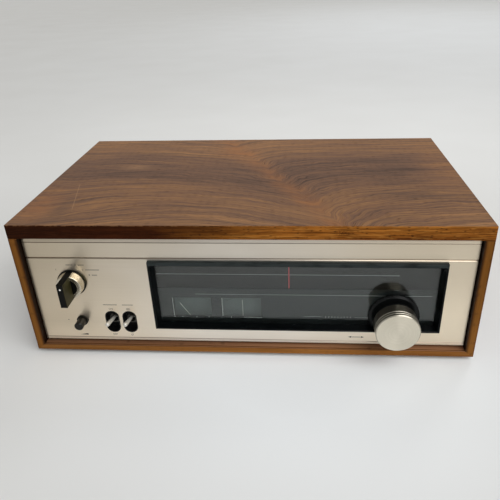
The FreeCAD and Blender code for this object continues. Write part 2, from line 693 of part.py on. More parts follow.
def knob_escutcheon():
    """Round black boss on the glass around the tuning shaft, flat where it stands on the bezel's sill."""
    outline = [(GLASS_SHAFT_HOLE_RADIUS, GLASS_FRONT), (ESCUTCHEON_RADIUS, GLASS_FRONT),
               (ESCUTCHEON_RADIUS, GLASS_FRONT - ESCUTCHEON_EDGE),
               (ESCUTCHEON_RADIUS - ESCUTCHEON_STEP, ESCUTCHEON_FRONT),
               (GLASS_SHAFT_HOLE_RADIUS, ESCUTCHEON_FRONT)]
    disc = turned_y(TUNING_X, TUNING_Z, outline)
    sill = BEZEL_FOOT + BEZEL_FOOT_RAIL + BEZEL_FOOT_DRAFT
    below = box((TUNING_X - 2 * ESCUTCHEON_RADIUS, TUNING_X + 2 * ESCUTCHEON_RADIUS),
                (ESCUTCHEON_FRONT, GLASS_FRONT), (TUNING_Z - 2 * ESCUTCHEON_RADIUS, sill))
    return disc.cut(below)


def dial_glass():
    inset = BEZEL_NECK_INSET + LOOSE
    sheet = box((BEZEL_LEFT + inset, BEZEL_RIGHT - inset), (GLASS_FRONT, GLASS_BACK),
                (BEZEL_FOOT + inset, BEZEL_TOP - inset))
    return sheet.cut(rod_y(TUNING_X, TUNING_Z, GLASS_SHAFT_HOLE_RADIUS, GLASS_FRONT, GLASS_BACK))


def dial_mask():
    """Black mask behind the glass: a rim against the fascia's back, a dial slot and two meter windows."""
    x = (BEZEL_LEFT - MASK_SIDE_MARGIN, BEZEL_RIGHT + MASK_SIDE_MARGIN)
    z = (BEZEL_FOOT - MASK_FOOT_MARGIN, BEZEL_TOP + MASK_TOP_MARGIN)
    mask = box(x, (FASCIA_BACK, MASK_BACK), z)
    inset = BEZEL_NECK_INSET
    mask = mask.cut(box((BEZEL_LEFT + inset, BEZEL_RIGHT - inset), (FASCIA_BACK, GLASS_BACK),
                        (BEZEL_FOOT + inset, BEZEL_TOP - inset)))
    through = (GLASS_BACK, MASK_BACK)
    mask = mask.cut(box((BEZEL_LEFT + DIAL_SIDE_INSET, BEZEL_RIGHT - DIAL_SIDE_INSET), through,
                        (DIAL_SILL, BEZEL_TOP - DIAL_HEAD_DROP)))
    for centre in METER_CENTRES:
        mask = mask.cut(box((centre - METER_WINDOW_WIDTH / 2, centre + METER_WINDOW_WIDTH / 2), through,
                            (METER_WINDOW_FOOT, METER_WINDOW_FOOT + METER_WINDOW_HEIGHT)))
    return mask.cut(rod_y(TUNING_X, TUNING_Z, GLASS_SHAFT_HOLE_RADIUS, *through))


def dial_backplate():
    """Open-topped channel behind the dial slot, with the scale on its front."""
    x = (LIGHT_BOX_LEFT, LIGHT_BOX_RIGHT)
    z = (LIGHT_BOX_FOOT, LIGHT_BOX_TOP)
    channel = box(x, (MASK_BACK, BACKPLATE_BACK), z)
    inside = box((x[0] + LIGHT_BOX_WALL, x[1] - LIGHT_BOX_WALL), (MASK_BACK, BACKPLATE_FRONT),
                 (z[0] + LIGHT_BOX_WALL, z[1]))
    return channel.cut(inside)


def dial_lamps():
    """Two tubular lamps, one at each end of the channel."""
    offset = LIGHT_BOX_WALL + LAMP_RADIUS + LOOSE
    y = (MASK_BACK + BACKPLATE_FRONT) / 2
    foot = LIGHT_BOX_FOOT + LIGHT_BOX_WALL
    top = LIGHT_BOX_TOP - LAMP_DROP
    outline = [(0, foot), (LAMP_RADIUS, foot), (LAMP_RADIUS, top - LAMP_RADIUS),
               (LAMP_RADIUS / 2, top), (0, top)]
    return Part.makeCompound([turned_z(x, y, outline)
                              for x in (LIGHT_BOX_LEFT + offset, LIGHT_BOX_RIGHT - offset)])


# Pointer, its rail and the dial cord

def pointer_needle():
    half = POINTER_WIDTH / 2
    arm_z = (RAIL_Z - CARRIAGE_UNDER, RAIL_Z - CARRIAGE_UNDER + POINTER_ARM_THICKNESS)
    blade = box((POINTER_X - half, POINTER_X + half), (POINTER_Y, POINTER_Y + POINTER_THICKNESS),
                (DIAL_SILL - POINTER_TIP_DROP, arm_z[1]))
    half_arm = POINTER_ARM_WIDTH / 2
    arm = box((POINTER_X - half_arm, POINTER_X + half_arm), (POINTER_Y, CARRIAGE_Y), arm_z)
    return fused([blade, arm])


def pointer_carriage():
    """Block that slides on the rail and holds the cord in a slot."""
    x = (POINTER_X - CARRIAGE_WIDTH / 2, POINTER_X + CARRIAGE_WIDTH / 2)
    top = CORD_TOP + CARRIAGE_OVER
    back = CARRIAGE_Y + CARRIAGE_DEPTH
    shoulder = RAIL_Z + CARRIAGE_UNDER
    outline = [(CARRIAGE_Y, RAIL_Z - CARRIAGE_UNDER), (back, RAIL_Z - CARRIAGE_UNDER), (back, top),
               (CORD_Y - CARRIAGE_LIP, top), (CARRIAGE_Y, shoulder)]
    block = prism_x(outline, *x)
    block = block.cut(rod_x(RAIL_Y, RAIL_Z, RAIL_RADIUS + RUNNING, *x))
    gap = CORD_RADIUS + LOOSE
    return block.cut(box(x, (CORD_Y - gap, CORD_Y + gap), (CORD_TOP - gap, top)))


def pointer_rail():
    """Rail in two brackets on the subpanel."""
    rail = rod_x(RAIL_Y, RAIL_Z, RAIL_RADIUS, RAIL_LEFT, RAIL_RIGHT)
    pieces = [rail]
    z = (RAIL_Z - RAIL_BRACKET_HALF, RAIL_Z + RAIL_BRACKET_HALF)
    for inner, outward in ((RAIL_LEFT + RAIL_BRACKET, -1), (RAIL_RIGHT - RAIL_BRACKET, 1)):
        plate_x = sorted((inner, inner + outward * RAIL_BRACKET))
        foot_x = sorted((inner, inner + outward * RAIL_BRACKET_FOOT))
        plate = box(plate_x, (RAIL_Y - RAIL_BRACKET_HALF, SUBPANEL_FRONT), z)
        foot = box(foot_x, (SUBPANEL_FRONT - RAIL_BRACKET, SUBPANEL_FRONT), z)
        pieces.append(fused([plate, foot]).cut(rod_x(RAIL_Y, RAIL_Z, RAIL_RADIUS, *plate_x)))
    return Part.makeCompound(pieces)


def cord_circles():
    """What the cord goes round, in order: centre x, centre z, radius, and 1 where it turns clockwise."""
    return [(PULLEY_LEFT_X, PULLEY_Z, PULLEY_RADIUS, 1),
            (PULLEY_RIGHT_X, PULLEY_Z, PULLEY_RADIUS, 1),
            (TUNING_X, TUNING_Z, SPINDLE_RADIUS, 1),
            (DRUM_X, DRUM_Z, DRUM_RADIUS, 1),
            (PULLEY_CENTRE_X, PULLEY_CENTRE_Z, PULLEY_RADIUS, -1)]


def tangent(first, second):
    """Straight run between two circles: its heading in radians and its two ends."""
    dx, dz = second[0] - first[0], second[1] - first[1]
    offset = second[3] * second[2] - first[3] * first[2]
    length = math.sqrt(dx * dx + dz * dz - offset * offset)
    heading = math.atan2(dz, dx) + math.atan2(offset, length)
    right = (math.sin(heading), -math.cos(heading))
    ends = [(c[0] - c[3] * c[2] * right[0], c[1] - c[3] * c[2] * right[1]) for c in (first, second)]
    return heading, ends[0], ends[1]


def dial_cord():
    """Taut loop round the pulleys, the spindle and the drum."""
    circles = cord_circles()
    count = len(circles)
    runs = [tangent(circles[i], circles[(i + 1) % count]) for i in range(count)]
    pieces = []
    for i in range(count):
        heading, start, end = runs[i]
        along = V(math.cos(heading), 0, math.sin(heading))
        length = math.hypot(end[0] - start[0], end[1] - start[1])
        pieces.append(Part.makeCylinder(CORD_RADIUS, length, V(start[0], CORD_Y, start[1]), along))
        circle = circles[(i + 1) % count]
        turn = circle[3] * (heading - runs[(i + 1) % count][0]) % (2 * math.pi)
        section = Part.Face(Part.Wire(Part.makeCircle(CORD_RADIUS, V(end[0], CORD_Y, end[1]), along)))
        angle = circle[3] * math.degrees(turn)
        pieces.append(section.revolve(V(circle[0], 0, circle[1]), ALONG_Y, angle))
    return pieces[0].fuse(pieces[1:])


def pulley(x, z):
    half = PULLEY_WIDTH / 2
    groove = PULLEY_GROOVE / 2
    bottom = PULLEY_RADIUS - CORD_RADIUS - RUNNING
    rim = PULLEY_RADIUS + PULLEY_RIM
    bore = POST_RADIUS + RUNNING
    outline = [(bore, CORD_Y - half), (rim, CORD_Y - half), (rim, CORD_Y - groove),
               (bottom, CORD_Y - groove), (bottom, CORD_Y + groove), (rim, CORD_Y + groove),
               (rim, CORD_Y + half), (bore, CORD_Y + half)]
    return turned_y(x, z, outline)


def pulley_left():
    return pulley(PULLEY_LEFT_X, PULLEY_Z)


def pulley_right():
    return pulley(PULLEY_RIGHT_X, PULLEY_Z)


def pulley_centre():
    return pulley(PULLEY_CENTRE_X, PULLEY_CENTRE_Z)


def cord_drum():
    half = DRUM_WIDTH / 2
    web = DRUM_WEB / 2
    groove = PULLEY_GROOVE / 2
    rim = DRUM_RADIUS + DRUM_RIM
    inner = rim - DRUM_RIM_DEPTH
    bottom = DRUM_RADIUS - CORD_RADIUS - RUNNING
    hub_back = SUBPANEL_FRONT - BUSH_FLANGE - LOOSE
    hub_front = CORD_Y - half - DRUM_HUB_PROUD
    bore = SHAFT_RADIUS + SEAT
    outline = [(bore, hub_front), (DRUM_HUB_RADIUS, hub_front), (DRUM_HUB_RADIUS, CORD_Y - web),
               (inner, CORD_Y - web), (inner, CORD_Y - half), (rim, CORD_Y - half), (rim, CORD_Y - groove),
               (bottom, CORD_Y - groove), (bottom, CORD_Y + groove), (rim, CORD_Y + groove),
               (rim, CORD_Y + half), (inner, CORD_Y + half), (inner, CORD_Y + web),
               (DRUM_HUB_RADIUS, CORD_Y + web), (DRUM_HUB_RADIUS, hub_back), (bore, hub_back)]
    drum = turned_y(DRUM_X, DRUM_Z, outline)
    ring = (DRUM_HUB_RADIUS + inner) / 2
    for i in range(DRUM_HOLES):
        angle = 2 * math.pi * i / DRUM_HOLES
        x = DRUM_X + ring * math.cos(angle)
        z = DRUM_Z + ring * math.sin(angle)
        drum = drum.cut(rod_y(x, z, DRUM_HOLE_RADIUS, CORD_Y - web, CORD_Y + web))
    return drum


def drum_shaft():
    """Shaft with the pinion on its back end; the pinion's lowest tooth points down at the gear."""
    back = GEAR_Y + PINION_WIDTH + LOOSE
    shaft = rod_y(DRUM_X, DRUM_Z, SHAFT_RADIUS, CORD_Y - DRUM_WIDTH, back)
    pinion = gear_y(DRUM_X, DRUM_Z, PINION_TEETH, GEAR_Y, GEAR_Y + PINION_WIDTH, -90)
    return fused([shaft, pinion])


def bush(x, z):
    """Flanged bush with its nut, in the subpanel."""
    front = SUBPANEL_FRONT - BUSH_FLANGE
    nut_back = SUBPANEL_BACK + BUSH_NUT
    bore = SHAFT_RADIUS + RUNNING
    outline = [(bore, front), (BUSH_FLANGE_RADIUS, front), (BUSH_FLANGE_RADIUS, SUBPANEL_FRONT),
               (BUSH_RADIUS, SUBPANEL_FRONT), (BUSH_RADIUS, SUBPANEL_BACK),
               (BUSH_FLANGE_RADIUS, SUBPANEL_BACK), (BUSH_FLANGE_RADIUS, nut_back), (bore, nut_back)]
    return turned_y(x, z, outline)


def shaft_bushes():
    return Part.makeCompound([bush(DRUM_X, DRUM_Z), bush(TUNING_X, TUNING_Z)])


# Tuning knob and shaft

def tuning_cap():
    """Spun aluminium cup with two fine grooves near its front."""
    front = CAP_FRONT
    outer = TUNING_CAP_RADIUS
    inner = outer - TUNING_CAP_WALL
    outline = [(0, front), (outer - TUNING_CAP_ROUND, front), (outer, front + TUNING_CAP_ROUND)]
    for i in range(TUNING_KNOB_GROOVES):
        y = front + (i + 1) * TUNING_KNOB_GROOVE_PITCH
        outline += [(outer, y), (outer - TUNING_KNOB_GROOVE_DEPTH, y + TUNING_KNOB_GROOVE_WIDTH / 2),
                    (outer, y + TUNING_KNOB_GROOVE_WIDTH)]
    outline += [(outer, HUB_FRONT), (inner, HUB_FRONT), (inner, front + TUNING_CAP_WALL),
                (0, front + TUNING_CAP_WALL)]
    return turned_y(TUNING_X, TUNING_Z, outline)


def tuning_hub():
    """Black hub: it fills the cap, shows as a thin disc behind it and reaches back to the escutcheon."""
    plug = TUNING_CAP_RADIUS - TUNING_CAP_WALL - SEAT
    plug_front = CAP_FRONT + TUNING_CAP_WALL
    boss_back = ESCUTCHEON_FRONT - LOOSE
    bore = SHAFT_RADIUS + SEAT
    outline = [(bore, plug_front), (plug, plug_front), (plug, HUB_FRONT),
               (TUNING_HUB_RADIUS, HUB_FRONT), (TUNING_HUB_RADIUS, HUB_BACK), (TUNING_BOSS_RADIUS, HUB_BACK),
               (TUNING_BOSS_RADIUS, boss_back), (bore, boss_back)]
    return turned_y(TUNING_X, TUNING_Z, outline)


def tuning_shaft():
    """Shaft with a flanged waist that the dial cord winds on."""
    front = CAP_FRONT + TUNING_CAP_WALL
    back = SUBPANEL_BACK + FLYWHEEL_SETBACK + FLYWHEEL_WIDTH + SHAFT_TAIL
    half = SPINDLE_WIDTH / 2
    waist = half - SPINDLE_FLANGE
    bottom = SPINDLE_RADIUS - CORD_RADIUS - RUNNING
    outline = [(0, front), (SHAFT_RADIUS, front), (SHAFT_RADIUS, CORD_Y - half),
               (SPINDLE_FLANGE_RADIUS, CORD_Y - half), (SPINDLE_FLANGE_RADIUS, CORD_Y - waist),
               (bottom, CORD_Y - waist), (bottom, CORD_Y + waist), (SPINDLE_FLANGE_RADIUS, CORD_Y + waist),
               (SPINDLE_FLANGE_RADIUS, CORD_Y + half), (SHAFT_RADIUS, CORD_Y + half), (SHAFT_RADIUS, back),
               (0, back)]
    return turned_y(TUNING_X, TUNING_Z, outline)


def flywheel():
    front = SUBPANEL_BACK + FLYWHEEL_SETBACK
    back = front + FLYWHEEL_WIDTH
    web = (FLYWHEEL_WIDTH - FLYWHEEL_WEB) / 2
    hub = 2 * SHAFT_RADIUS
    inner = FLYWHEEL_RADIUS - FLYWHEEL_RIM
    outline = [(SHAFT_RADIUS + SEAT, front), (hub, front), (hub, front + web), (inner, front + web),
               (inner, front), (FLYWHEEL_RADIUS, front), (FLYWHEEL_RADIUS, back), (inner, back),
               (inner, back - web), (hub, back - web), (hub, back), (SHAFT_RADIUS + SEAT, back)]
    return turned_y(TUNING_X, TUNING_Z, outline)


# Gang capacitor

def gang_frame():
    """Two bearing plates on a base that stands on four legs on the tray."""
    x = (GANG_X - GANG_WIDTH / 2, GANG_X + GANG_WIDTH / 2)
    z = (GANG_FOOT, GANG_FOOT + GANG_HEIGHT)
    front = box(x, (GANG_FRONT, GANG_FRONT + GANG_WALL), z)
    back = box(x, (GANG_BACK - GANG_WALL, GANG_BACK), z)
    base = box(x, (GANG_FRONT, GANG_BACK), (z[0], z[0] + GANG_WALL))
    legs = [box((lx, lx + 2 * GANG_LEG), (ly, ly + 2 * GANG_LEG), (TRAY_TOP, GANG_FOOT))
            for lx in (x[0], x[1] - 2 * GANG_LEG) for ly in (GANG_FRONT, GANG_BACK - 2 * GANG_LEG)]
    frame = fused([front, back, base] + legs)
    frame = frame.cut(rod_y(GANG_X, GANG_Z, SHAFT_RADIUS + RUNNING, GANG_FRONT, GANG_BACK))
    for side in (-1, 1):
        frame = frame.cut(rod_y(GANG_X + side * STATOR_ROD_OFFSET, GANG_Z + STATOR_ROD_RISE,
                                STATOR_ROD_RADIUS, GANG_FRONT, GANG_BACK))
    return frame


def gang_stator():
    """Fixed plates above the rotor, on two rods."""
    top = GANG_Z + STATOR_ROD_RISE + 2 * STATOR_ROD_RADIUS
    half = STATOR_ROD_OFFSET + 2 * STATOR_ROD_RADIUS
    pieces = [rod_y(GANG_X + side * STATOR_ROD_OFFSET, GANG_Z + STATOR_ROD_RISE, STATOR_ROD_RADIUS,
                    GANG_FRONT, GANG_BACK) for side in (-1, 1)]
    for i in range(PLATES + 1):
        y = FIRST_STATOR_Y + i * PLATE_PITCH
        plate = box((GANG_X - half, GANG_X + half), (y, y + PLATE_THICKNESS), (GANG_Z + STATOR_LIFT, top))
        pieces.append(plate.cut(rod_y(GANG_X, GANG_Z, STATOR_BORE, y, y + PLATE_THICKNESS)))
    return fused(pieces)


def gang_rotor():
    """Shaft with half-round plates that turn in between the fixed ones."""
    shaft = rod_y(GANG_X, GANG_Z, SHAFT_RADIUS, GEAR_Y, GANG_BACK + LOOSE)
    hub_front = GANG_FRONT + GANG_WALL + LOOSE
    hub_back = GANG_BACK - GANG_WALL - LOOSE
    hub = rod_y(GANG_X, GANG_Z, ROTOR_HUB_RADIUS, hub_front, hub_back)
    pieces = [shaft, hub]
    for i in range(PLATES):
        y = FIRST_STATOR_Y + (i + 0.5) * PLATE_PITCH
        disc = rod_y(GANG_X, GANG_Z, ROTOR_PLATE_RADIUS, y, y + PLATE_THICKNESS)
        reach = ROTOR_PLATE_RADIUS
        half = box((GANG_X - reach, GANG_X), (y, y + PLATE_THICKNESS), (GANG_Z - reach, GANG_Z + reach))
        pieces.append(disc.common(half))
    return fused(pieces)


def rotor_gear():
    """Gear on the rotor shaft; a gap between two teeth points up at the pinion."""
    back = GEAR_Y + GEAR_WIDTH
    gear = gear_y(GANG_X, GANG_Z, GEAR_TEETH, GEAR_Y, back, 90 + 180 / GEAR_TEETH)
    return gear.cut(rod_y(GANG_X, GANG_Z, SHAFT_RADIUS + SEAT, GEAR_Y, back))


# Meters

def meter_case(centre):
    """Open-fronted case behind a meter window, with the pivot's boss and pin on its back wall."""
    x = (centre - METER_CASE_WIDTH / 2, centre + METER_CASE_WIDTH / 2)
    z = (METER_WINDOW_FOOT - METER_CASE_DROP, METER_WINDOW_FOOT + METER_WINDOW_HEIGHT + METER_CASE_OVER)
    case = box(x, (MASK_BACK, SUBPANEL_FRONT), z)
    inside = box((x[0] + METER_WALL, x[1] - METER_WALL), (MASK_BACK, SUBPANEL_FRONT - METER_WALL),
                 (z[0] + METER_WALL, z[1] - METER_WALL))
    hub_back = NEEDLE_Y + NEEDLE_HUB_LENGTH / 2
    boss = rod_y(centre, METER_PIVOT_Z, METER_BOSS_RADIUS, hub_back + RUNNING, SUBPANEL_FRONT - METER_WALL)
    pin = rod_y(centre, METER_PIVOT_Z, METER_PIN_RADIUS, NEEDLE_Y - NEEDLE_HUB_LENGTH, hub_back + RUNNING)
    return fused([case.cut(inside), boss, pin])


def meter_cases():
    return Part.makeCompound([meter_case(centre) for centre in METER_CENTRES])


def meter_scale(centre):
    inset = METER_WALL + SEAT
    x = (centre - METER_CASE_WIDTH / 2 + inset, centre + METER_CASE_WIDTH / 2 - inset)
    z = (METER_WINDOW_FOOT - METER_CASE_DROP + inset,
         METER_WINDOW_FOOT + METER_WINDOW_HEIGHT + METER_CASE_OVER - inset)
    plate = box(x, (SCALE_Y, SCALE_Y + METER_SCALE_THICKNESS), z)
    return plate.cut(rod_y(centre, METER_PIVOT_Z, METER_BOSS_RADIUS + SEAT, SCALE_Y,
                           SCALE_Y + METER_SCALE_THICKNESS))


def meter_scales():
    return Part.makeCompound([meter_scale(centre) for centre in METER_CENTRES])


def meter_needle(centre, lean):
    """Needle on its hub; lean is its angle from upright towards the left."""
    half = NEEDLE_WIDTH / 2
    y = (NEEDLE_Y - NEEDLE_THICKNESS / 2, NEEDLE_Y + NEEDLE_THICKNESS / 2)
    blade = box((centre - half, centre + half), y,
                (METER_PIVOT_Z - NEEDLE_TAIL, METER_PIVOT_Z + NEEDLE_LENGTH))
    hub = rod_y(centre, METER_PIVOT_Z, NEEDLE_HUB_RADIUS, NEEDLE_Y - NEEDLE_HUB_LENGTH / 2,
                NEEDLE_Y + NEEDLE_HUB_LENGTH / 2)
    needle = fused([blade, hub])
    needle = needle.cut(rod_y(centre, METER_PIVOT_Z, METER_PIN_RADIUS + RUNNING,
                              NEEDLE_Y - NEEDLE_HUB_LENGTH, NEEDLE_Y + NEEDLE_HUB_LENGTH))
    needle.rotate(V(centre, 0, METER_PIVOT_Z), ALONG_Y, -lean)
    return needle


def signal_needle():
    return meter_needle(METER_CENTRES[0], SIGNAL_NEEDLE_LEAN)


def tuning_needle():
    return meter_needle(METER_CENTRES[1], 0)


# Selector and level controls

def selector_handle():
    """Black moulding: a tall bar, a hub inside the collar and a thin flange against the fascia."""
    flange_back = FASCIA_FRONT - LOOSE
    flange_front = flange_back - SELECTOR_FLANGE_THICKNESS
    collar_front = flange_front - SELECTOR_COLLAR_LENGTH
    bar = box((SELECTOR_X - SELECTOR_BAR_WIDTH / 2, SELECTOR_X + SELECTOR_BAR_WIDTH / 2),
              (SELECTOR_FRONT, flange_front),
              (SELECTOR_Z - SELECTOR_BAR_LENGTH / 2, SELECTOR_Z + SELECTOR_BAR_LENGTH / 2))
    bar = bar.makeFillet(SELECTOR_BAR_ROUND, edges_at_front(bar, SELECTOR_FRONT))
    hub = rod_y(SELECTOR_X, SELECTOR_Z, SELECTOR_COLLAR_BORE - SEAT, collar_front, flange_front)
    flange = rod_y(SELECTOR_X, SELECTOR_Z, SELECTOR_FLANGE_RADIUS, flange_front, flange_back)
    handle = fused([bar, hub, flange])
    bore_front = flange_back - SELECTOR_SHAFT_GRIP
    return handle.cut(rod_y(SELECTOR_X, SELECTOR_Z, SHAFT_RADIUS + SEAT, bore_front, flange_back))


def selector_collar():
    """Aluminium ring round the handle's hub, parted by the bar."""
    back = FASCIA_FRONT - LOOSE - SELECTOR_FLANGE_THICKNESS
    front = back - SELECTOR_COLLAR_LENGTH
    rim = SELECTOR_COLLAR_RADIUS - SELECTOR_COLLAR_TAPER
    outline = [(SELECTOR_COLLAR_BORE, front), (rim - LOOSE, front), (rim, front + LOOSE),
               (SELECTOR_COLLAR_RADIUS, back), (SELECTOR_COLLAR_BORE, back)]
    half_slot = SELECTOR_BAR_WIDTH / 2 + SEAT
    slot = box((SELECTOR_X - half_slot, SELECTOR_X + half_slot), (front, back),
               (SELECTOR_Z - SELECTOR_FLANGE_RADIUS, SELECTOR_Z + SELECTOR_FLANGE_RADIUS))
    return turned_y(SELECTOR_X, SELECTOR_Z, outline).cut(slot)


def selector_shaft():
    front = FASCIA_FRONT - LOOSE - SELECTOR_SHAFT_GRIP
    back = SUBPANEL_BACK + SWITCH_PLATE + SWITCH_WAFERS * SWITCH_WAFER_PITCH + SHAFT_RADIUS
    return rod_y(SELECTOR_X, SELECTOR_Z, SHAFT_RADIUS, front, back)


def selector_switch():
    """Rotary switch on the subpanel: bush, index plate and wafers on two rods."""
    bush_front = SUBPANEL_FRONT - 2 * BUSH_FLANGE
    plate_back = SUBPANEL_BACK + SWITCH_PLATE
    last = plate_back + SWITCH_WAFERS * SWITCH_WAFER_PITCH
    pieces = [rod_y(SELECTOR_X, SELECTOR_Z, BUSH_RADIUS, bush_front, plate_back),
              rod_y(SELECTOR_X, SELECTOR_Z, SWITCH_PLATE_RADIUS, SUBPANEL_BACK, plate_back)]
    for i in range(SWITCH_WAFERS):
        y = plate_back + (i + 1) * SWITCH_WAFER_PITCH
        pieces.append(rod_y(SELECTOR_X, SELECTOR_Z, SWITCH_WAFER_RADIUS, y - SWITCH_PLATE, y))
    for side in (-1, 1):
        pieces.append(rod_y(SELECTOR_X + side * SWITCH_ROD_OFFSET, SELECTOR_Z, SWITCH_ROD_RADIUS,
                            SUBPANEL_BACK, last + SWITCH_PLATE))
    bore = rod_y(SELECTOR_X, SELECTOR_Z, SHAFT_RADIUS + RUNNING, bush_front, last)
    return fused(pieces).cut(bore)


def level_knob():
    """Small black knob with a thin flange, in one piece with its shaft."""
    front = FASCIA_FRONT - LEVEL_REACH
    flange_back = FASCIA_FRONT - LOOSE
    flange_front = flange_back - LEVEL_FLANGE_THICKNESS
    back = SUBPANEL_BACK + POT_LENGTH - 2 * LOOSE
    outline = [(0, front), (LEVEL_RADIUS - LEVEL_ROUND, front), (LEVEL_RADIUS, front + LEVEL_ROUND),
               (LEVEL_RADIUS, flange_front), (LEVEL_FLANGE_RADIUS, flange_front),
               (LEVEL_FLANGE_RADIUS, flange_back), (LEVEL_SHAFT_RADIUS, flange_back),
               (LEVEL_SHAFT_RADIUS, back), (0, back)]
    return turned_y(LEVEL_X, LEVEL_Z, outline)


def level_pot():
    bush_front = SUBPANEL_FRONT - 2 * BUSH_FLANGE
    back = SUBPANEL_BACK + POT_LENGTH
    bore = LEVEL_SHAFT_RADIUS + RUNNING
    bore_back = back - LOOSE
    outline = [(bore, bush_front), (BUSH_RADIUS, bush_front), (BUSH_RADIUS, SUBPANEL_BACK),
               (POT_RADIUS, SUBPANEL_BACK), (POT_RADIUS, back), (0, back), (0, bore_back), (bore, bore_back)]
    return turned_y(LEVEL_X, LEVEL_Z, outline)


# Toggle switches

def toggle_recesses():
    """One black moulding with two obround wells, clipped in from behind the fascia."""
    outer_width = RECESS_WIDTH - 2 * SEAT
    outer_height = RECESS_HEIGHT - 2 * SEAT
    front = FASCIA_FRONT - RECESS_PROUD
    wells = [obround_y(x, TOGGLE_Z, outer_width, outer_height, front, TOGGLE_BODY_FRONT) for x in TOGGLE_XS]
    half_height = RECESS_HEIGHT / 2 + RECESS_FLANGE
    reach = RECESS_WIDTH / 2 + RECESS_FLANGE
    flange = box((TOGGLE_XS[0] - reach, TOGGLE_XS[1] + reach), (FASCIA_BACK, FASCIA_BACK + RECESS_FLOOR),
                 (TOGGLE_Z - half_height, TOGGLE_Z + half_height))
    moulding = fused([flange] + wells)
    for x in TOGGLE_XS:
        moulding = moulding.cut(obround_y(x, TOGGLE_Z, outer_width - 2 * RECESS_WALL,
                                          outer_height - 2 * RECESS_WALL, front, RECESS_FLOOR_Y))
        moulding = moulding.cut(rod_y(x, TOGGLE_Z, TOGGLE_BUSH_RADIUS + SEAT, RECESS_FLOOR_Y,
                                      TOGGLE_BODY_FRONT))
    return moulding


def toggle_swing_space(x):
    """Room for one lever: a ball socket and a cone that opens forward."""
    pivot = V(x, TOGGLE_PIVOT_Y, TOGGLE_Z)
    socket = Part.makeSphere(TOGGLE_BALL_RADIUS + RUNNING, pivot)
    reach = TOGGLE_PIVOT_Y - RECESS_FLOOR_Y + TOGGLE_BUSH_PROUD
    slope = math.tan(math.radians(TOGGLE_TILT + TOGGLE_TILT_SPARE))
    start = TOGGLE_STEM_RADIUS + LOOSE
    cone = Part.makeCone(start, start + reach * slope + LOOSE, reach, pivot, V(0, -1, 0))
    return socket.fuse(cone)


def toggle_bodies():
    bodies = []
    for x in TOGGLE_XS:
        body = box((x - TOGGLE_BODY_WIDTH / 2, x + TOGGLE_BODY_WIDTH / 2),
                   (TOGGLE_BODY_FRONT, TOGGLE_BODY_FRONT + TOGGLE_BODY_DEPTH),
                   (TOGGLE_Z - TOGGLE_BODY_HEIGHT / 2, TOGGLE_Z + TOGGLE_BODY_HEIGHT / 2))
        bodies.append(body.cut(toggle_swing_space(x)))
    return Part.makeCompound(bodies)


def toggle_bushes():
    """Each bush with its nut against the floor of the well."""
    bushes = []
    for x in TOGGLE_XS:
        front = RECESS_FLOOR_Y - TOGGLE_BUSH_PROUD
        tube = rod_y(x, TOGGLE_Z, TOGGLE_BUSH_RADIUS, front, TOGGLE_BODY_FRONT)
        corners = [(x + TOGGLE_NUT_RADIUS * math.cos(math.radians(60 * i)),
                    TOGGLE_Z + TOGGLE_NUT_RADIUS * math.sin(math.radians(60 * i))) for i in range(6)]
        nut = prism_y(corners, RECESS_FLOOR_Y - TOGGLE_NUT, RECESS_FLOOR_Y)
        bushes.append(fused([tube, nut]).cut(toggle_swing_space(x)))
    return Part.makeCompound(bushes)


def toggle_lever(x):
    """Bat lever, thicker at its tip, tilted up."""
    pivot = V(x, TOGGLE_PIVOT_Y, TOGGLE_Z)
    reach = TOGGLE_LENGTH - TOGGLE_TIP_RADIUS
    stem = Part.makeCone(TOGGLE_STEM_RADIUS, TOGGLE_TIP_RADIUS, reach, pivot, V(0, -1, 0))
    tip = Part.makeSphere(TOGGLE_TIP_RADIUS, pivot + V(0, -reach, 0))
    ball = Part.makeSphere(TOGGLE_BALL_RADIUS, pivot)
    lever = fused([stem, tip, ball])
    lever.rotate(pivot, ALONG_X, -TOGGLE_TILT)
    return lever


def left_lever():
    return toggle_lever(TOGGLE_XS[0])


def right_lever():
    return toggle_lever(TOGGLE_XS[1])


# Chassis

def chassis():
    """Steel tray with flanges on all sides, on the bottom panel, with spacers for the board."""
    x = (-CHASSIS_HALF, CHASSIS_HALF)
    y = (SUBPANEL_BACK, REAR_PANEL_FRONT)
    z = (BOTTOM_THICKNESS, TRAY_TOP + CHASSIS_FLANGE)
    tray = box(x, y, z)
    tray = tray.cut(box((x[0] + STEEL, x[1] - STEEL), (y[0] + STEEL, y[1] - STEEL), (TRAY_TOP, z[1])))
    spacers = [rod_z(sx, sy, SPACER_RADIUS, TRAY_TOP, BOARD_UNDER)
               for sx in (BOARD_LEFT + SPACER_INSET, BOARD_RIGHT - SPACER_INSET)
               for sy in (BOARD_FRONT + SPACER_INSET, BOARD_BACK - SPACER_INSET)]
    return fused([tray] + spacers)


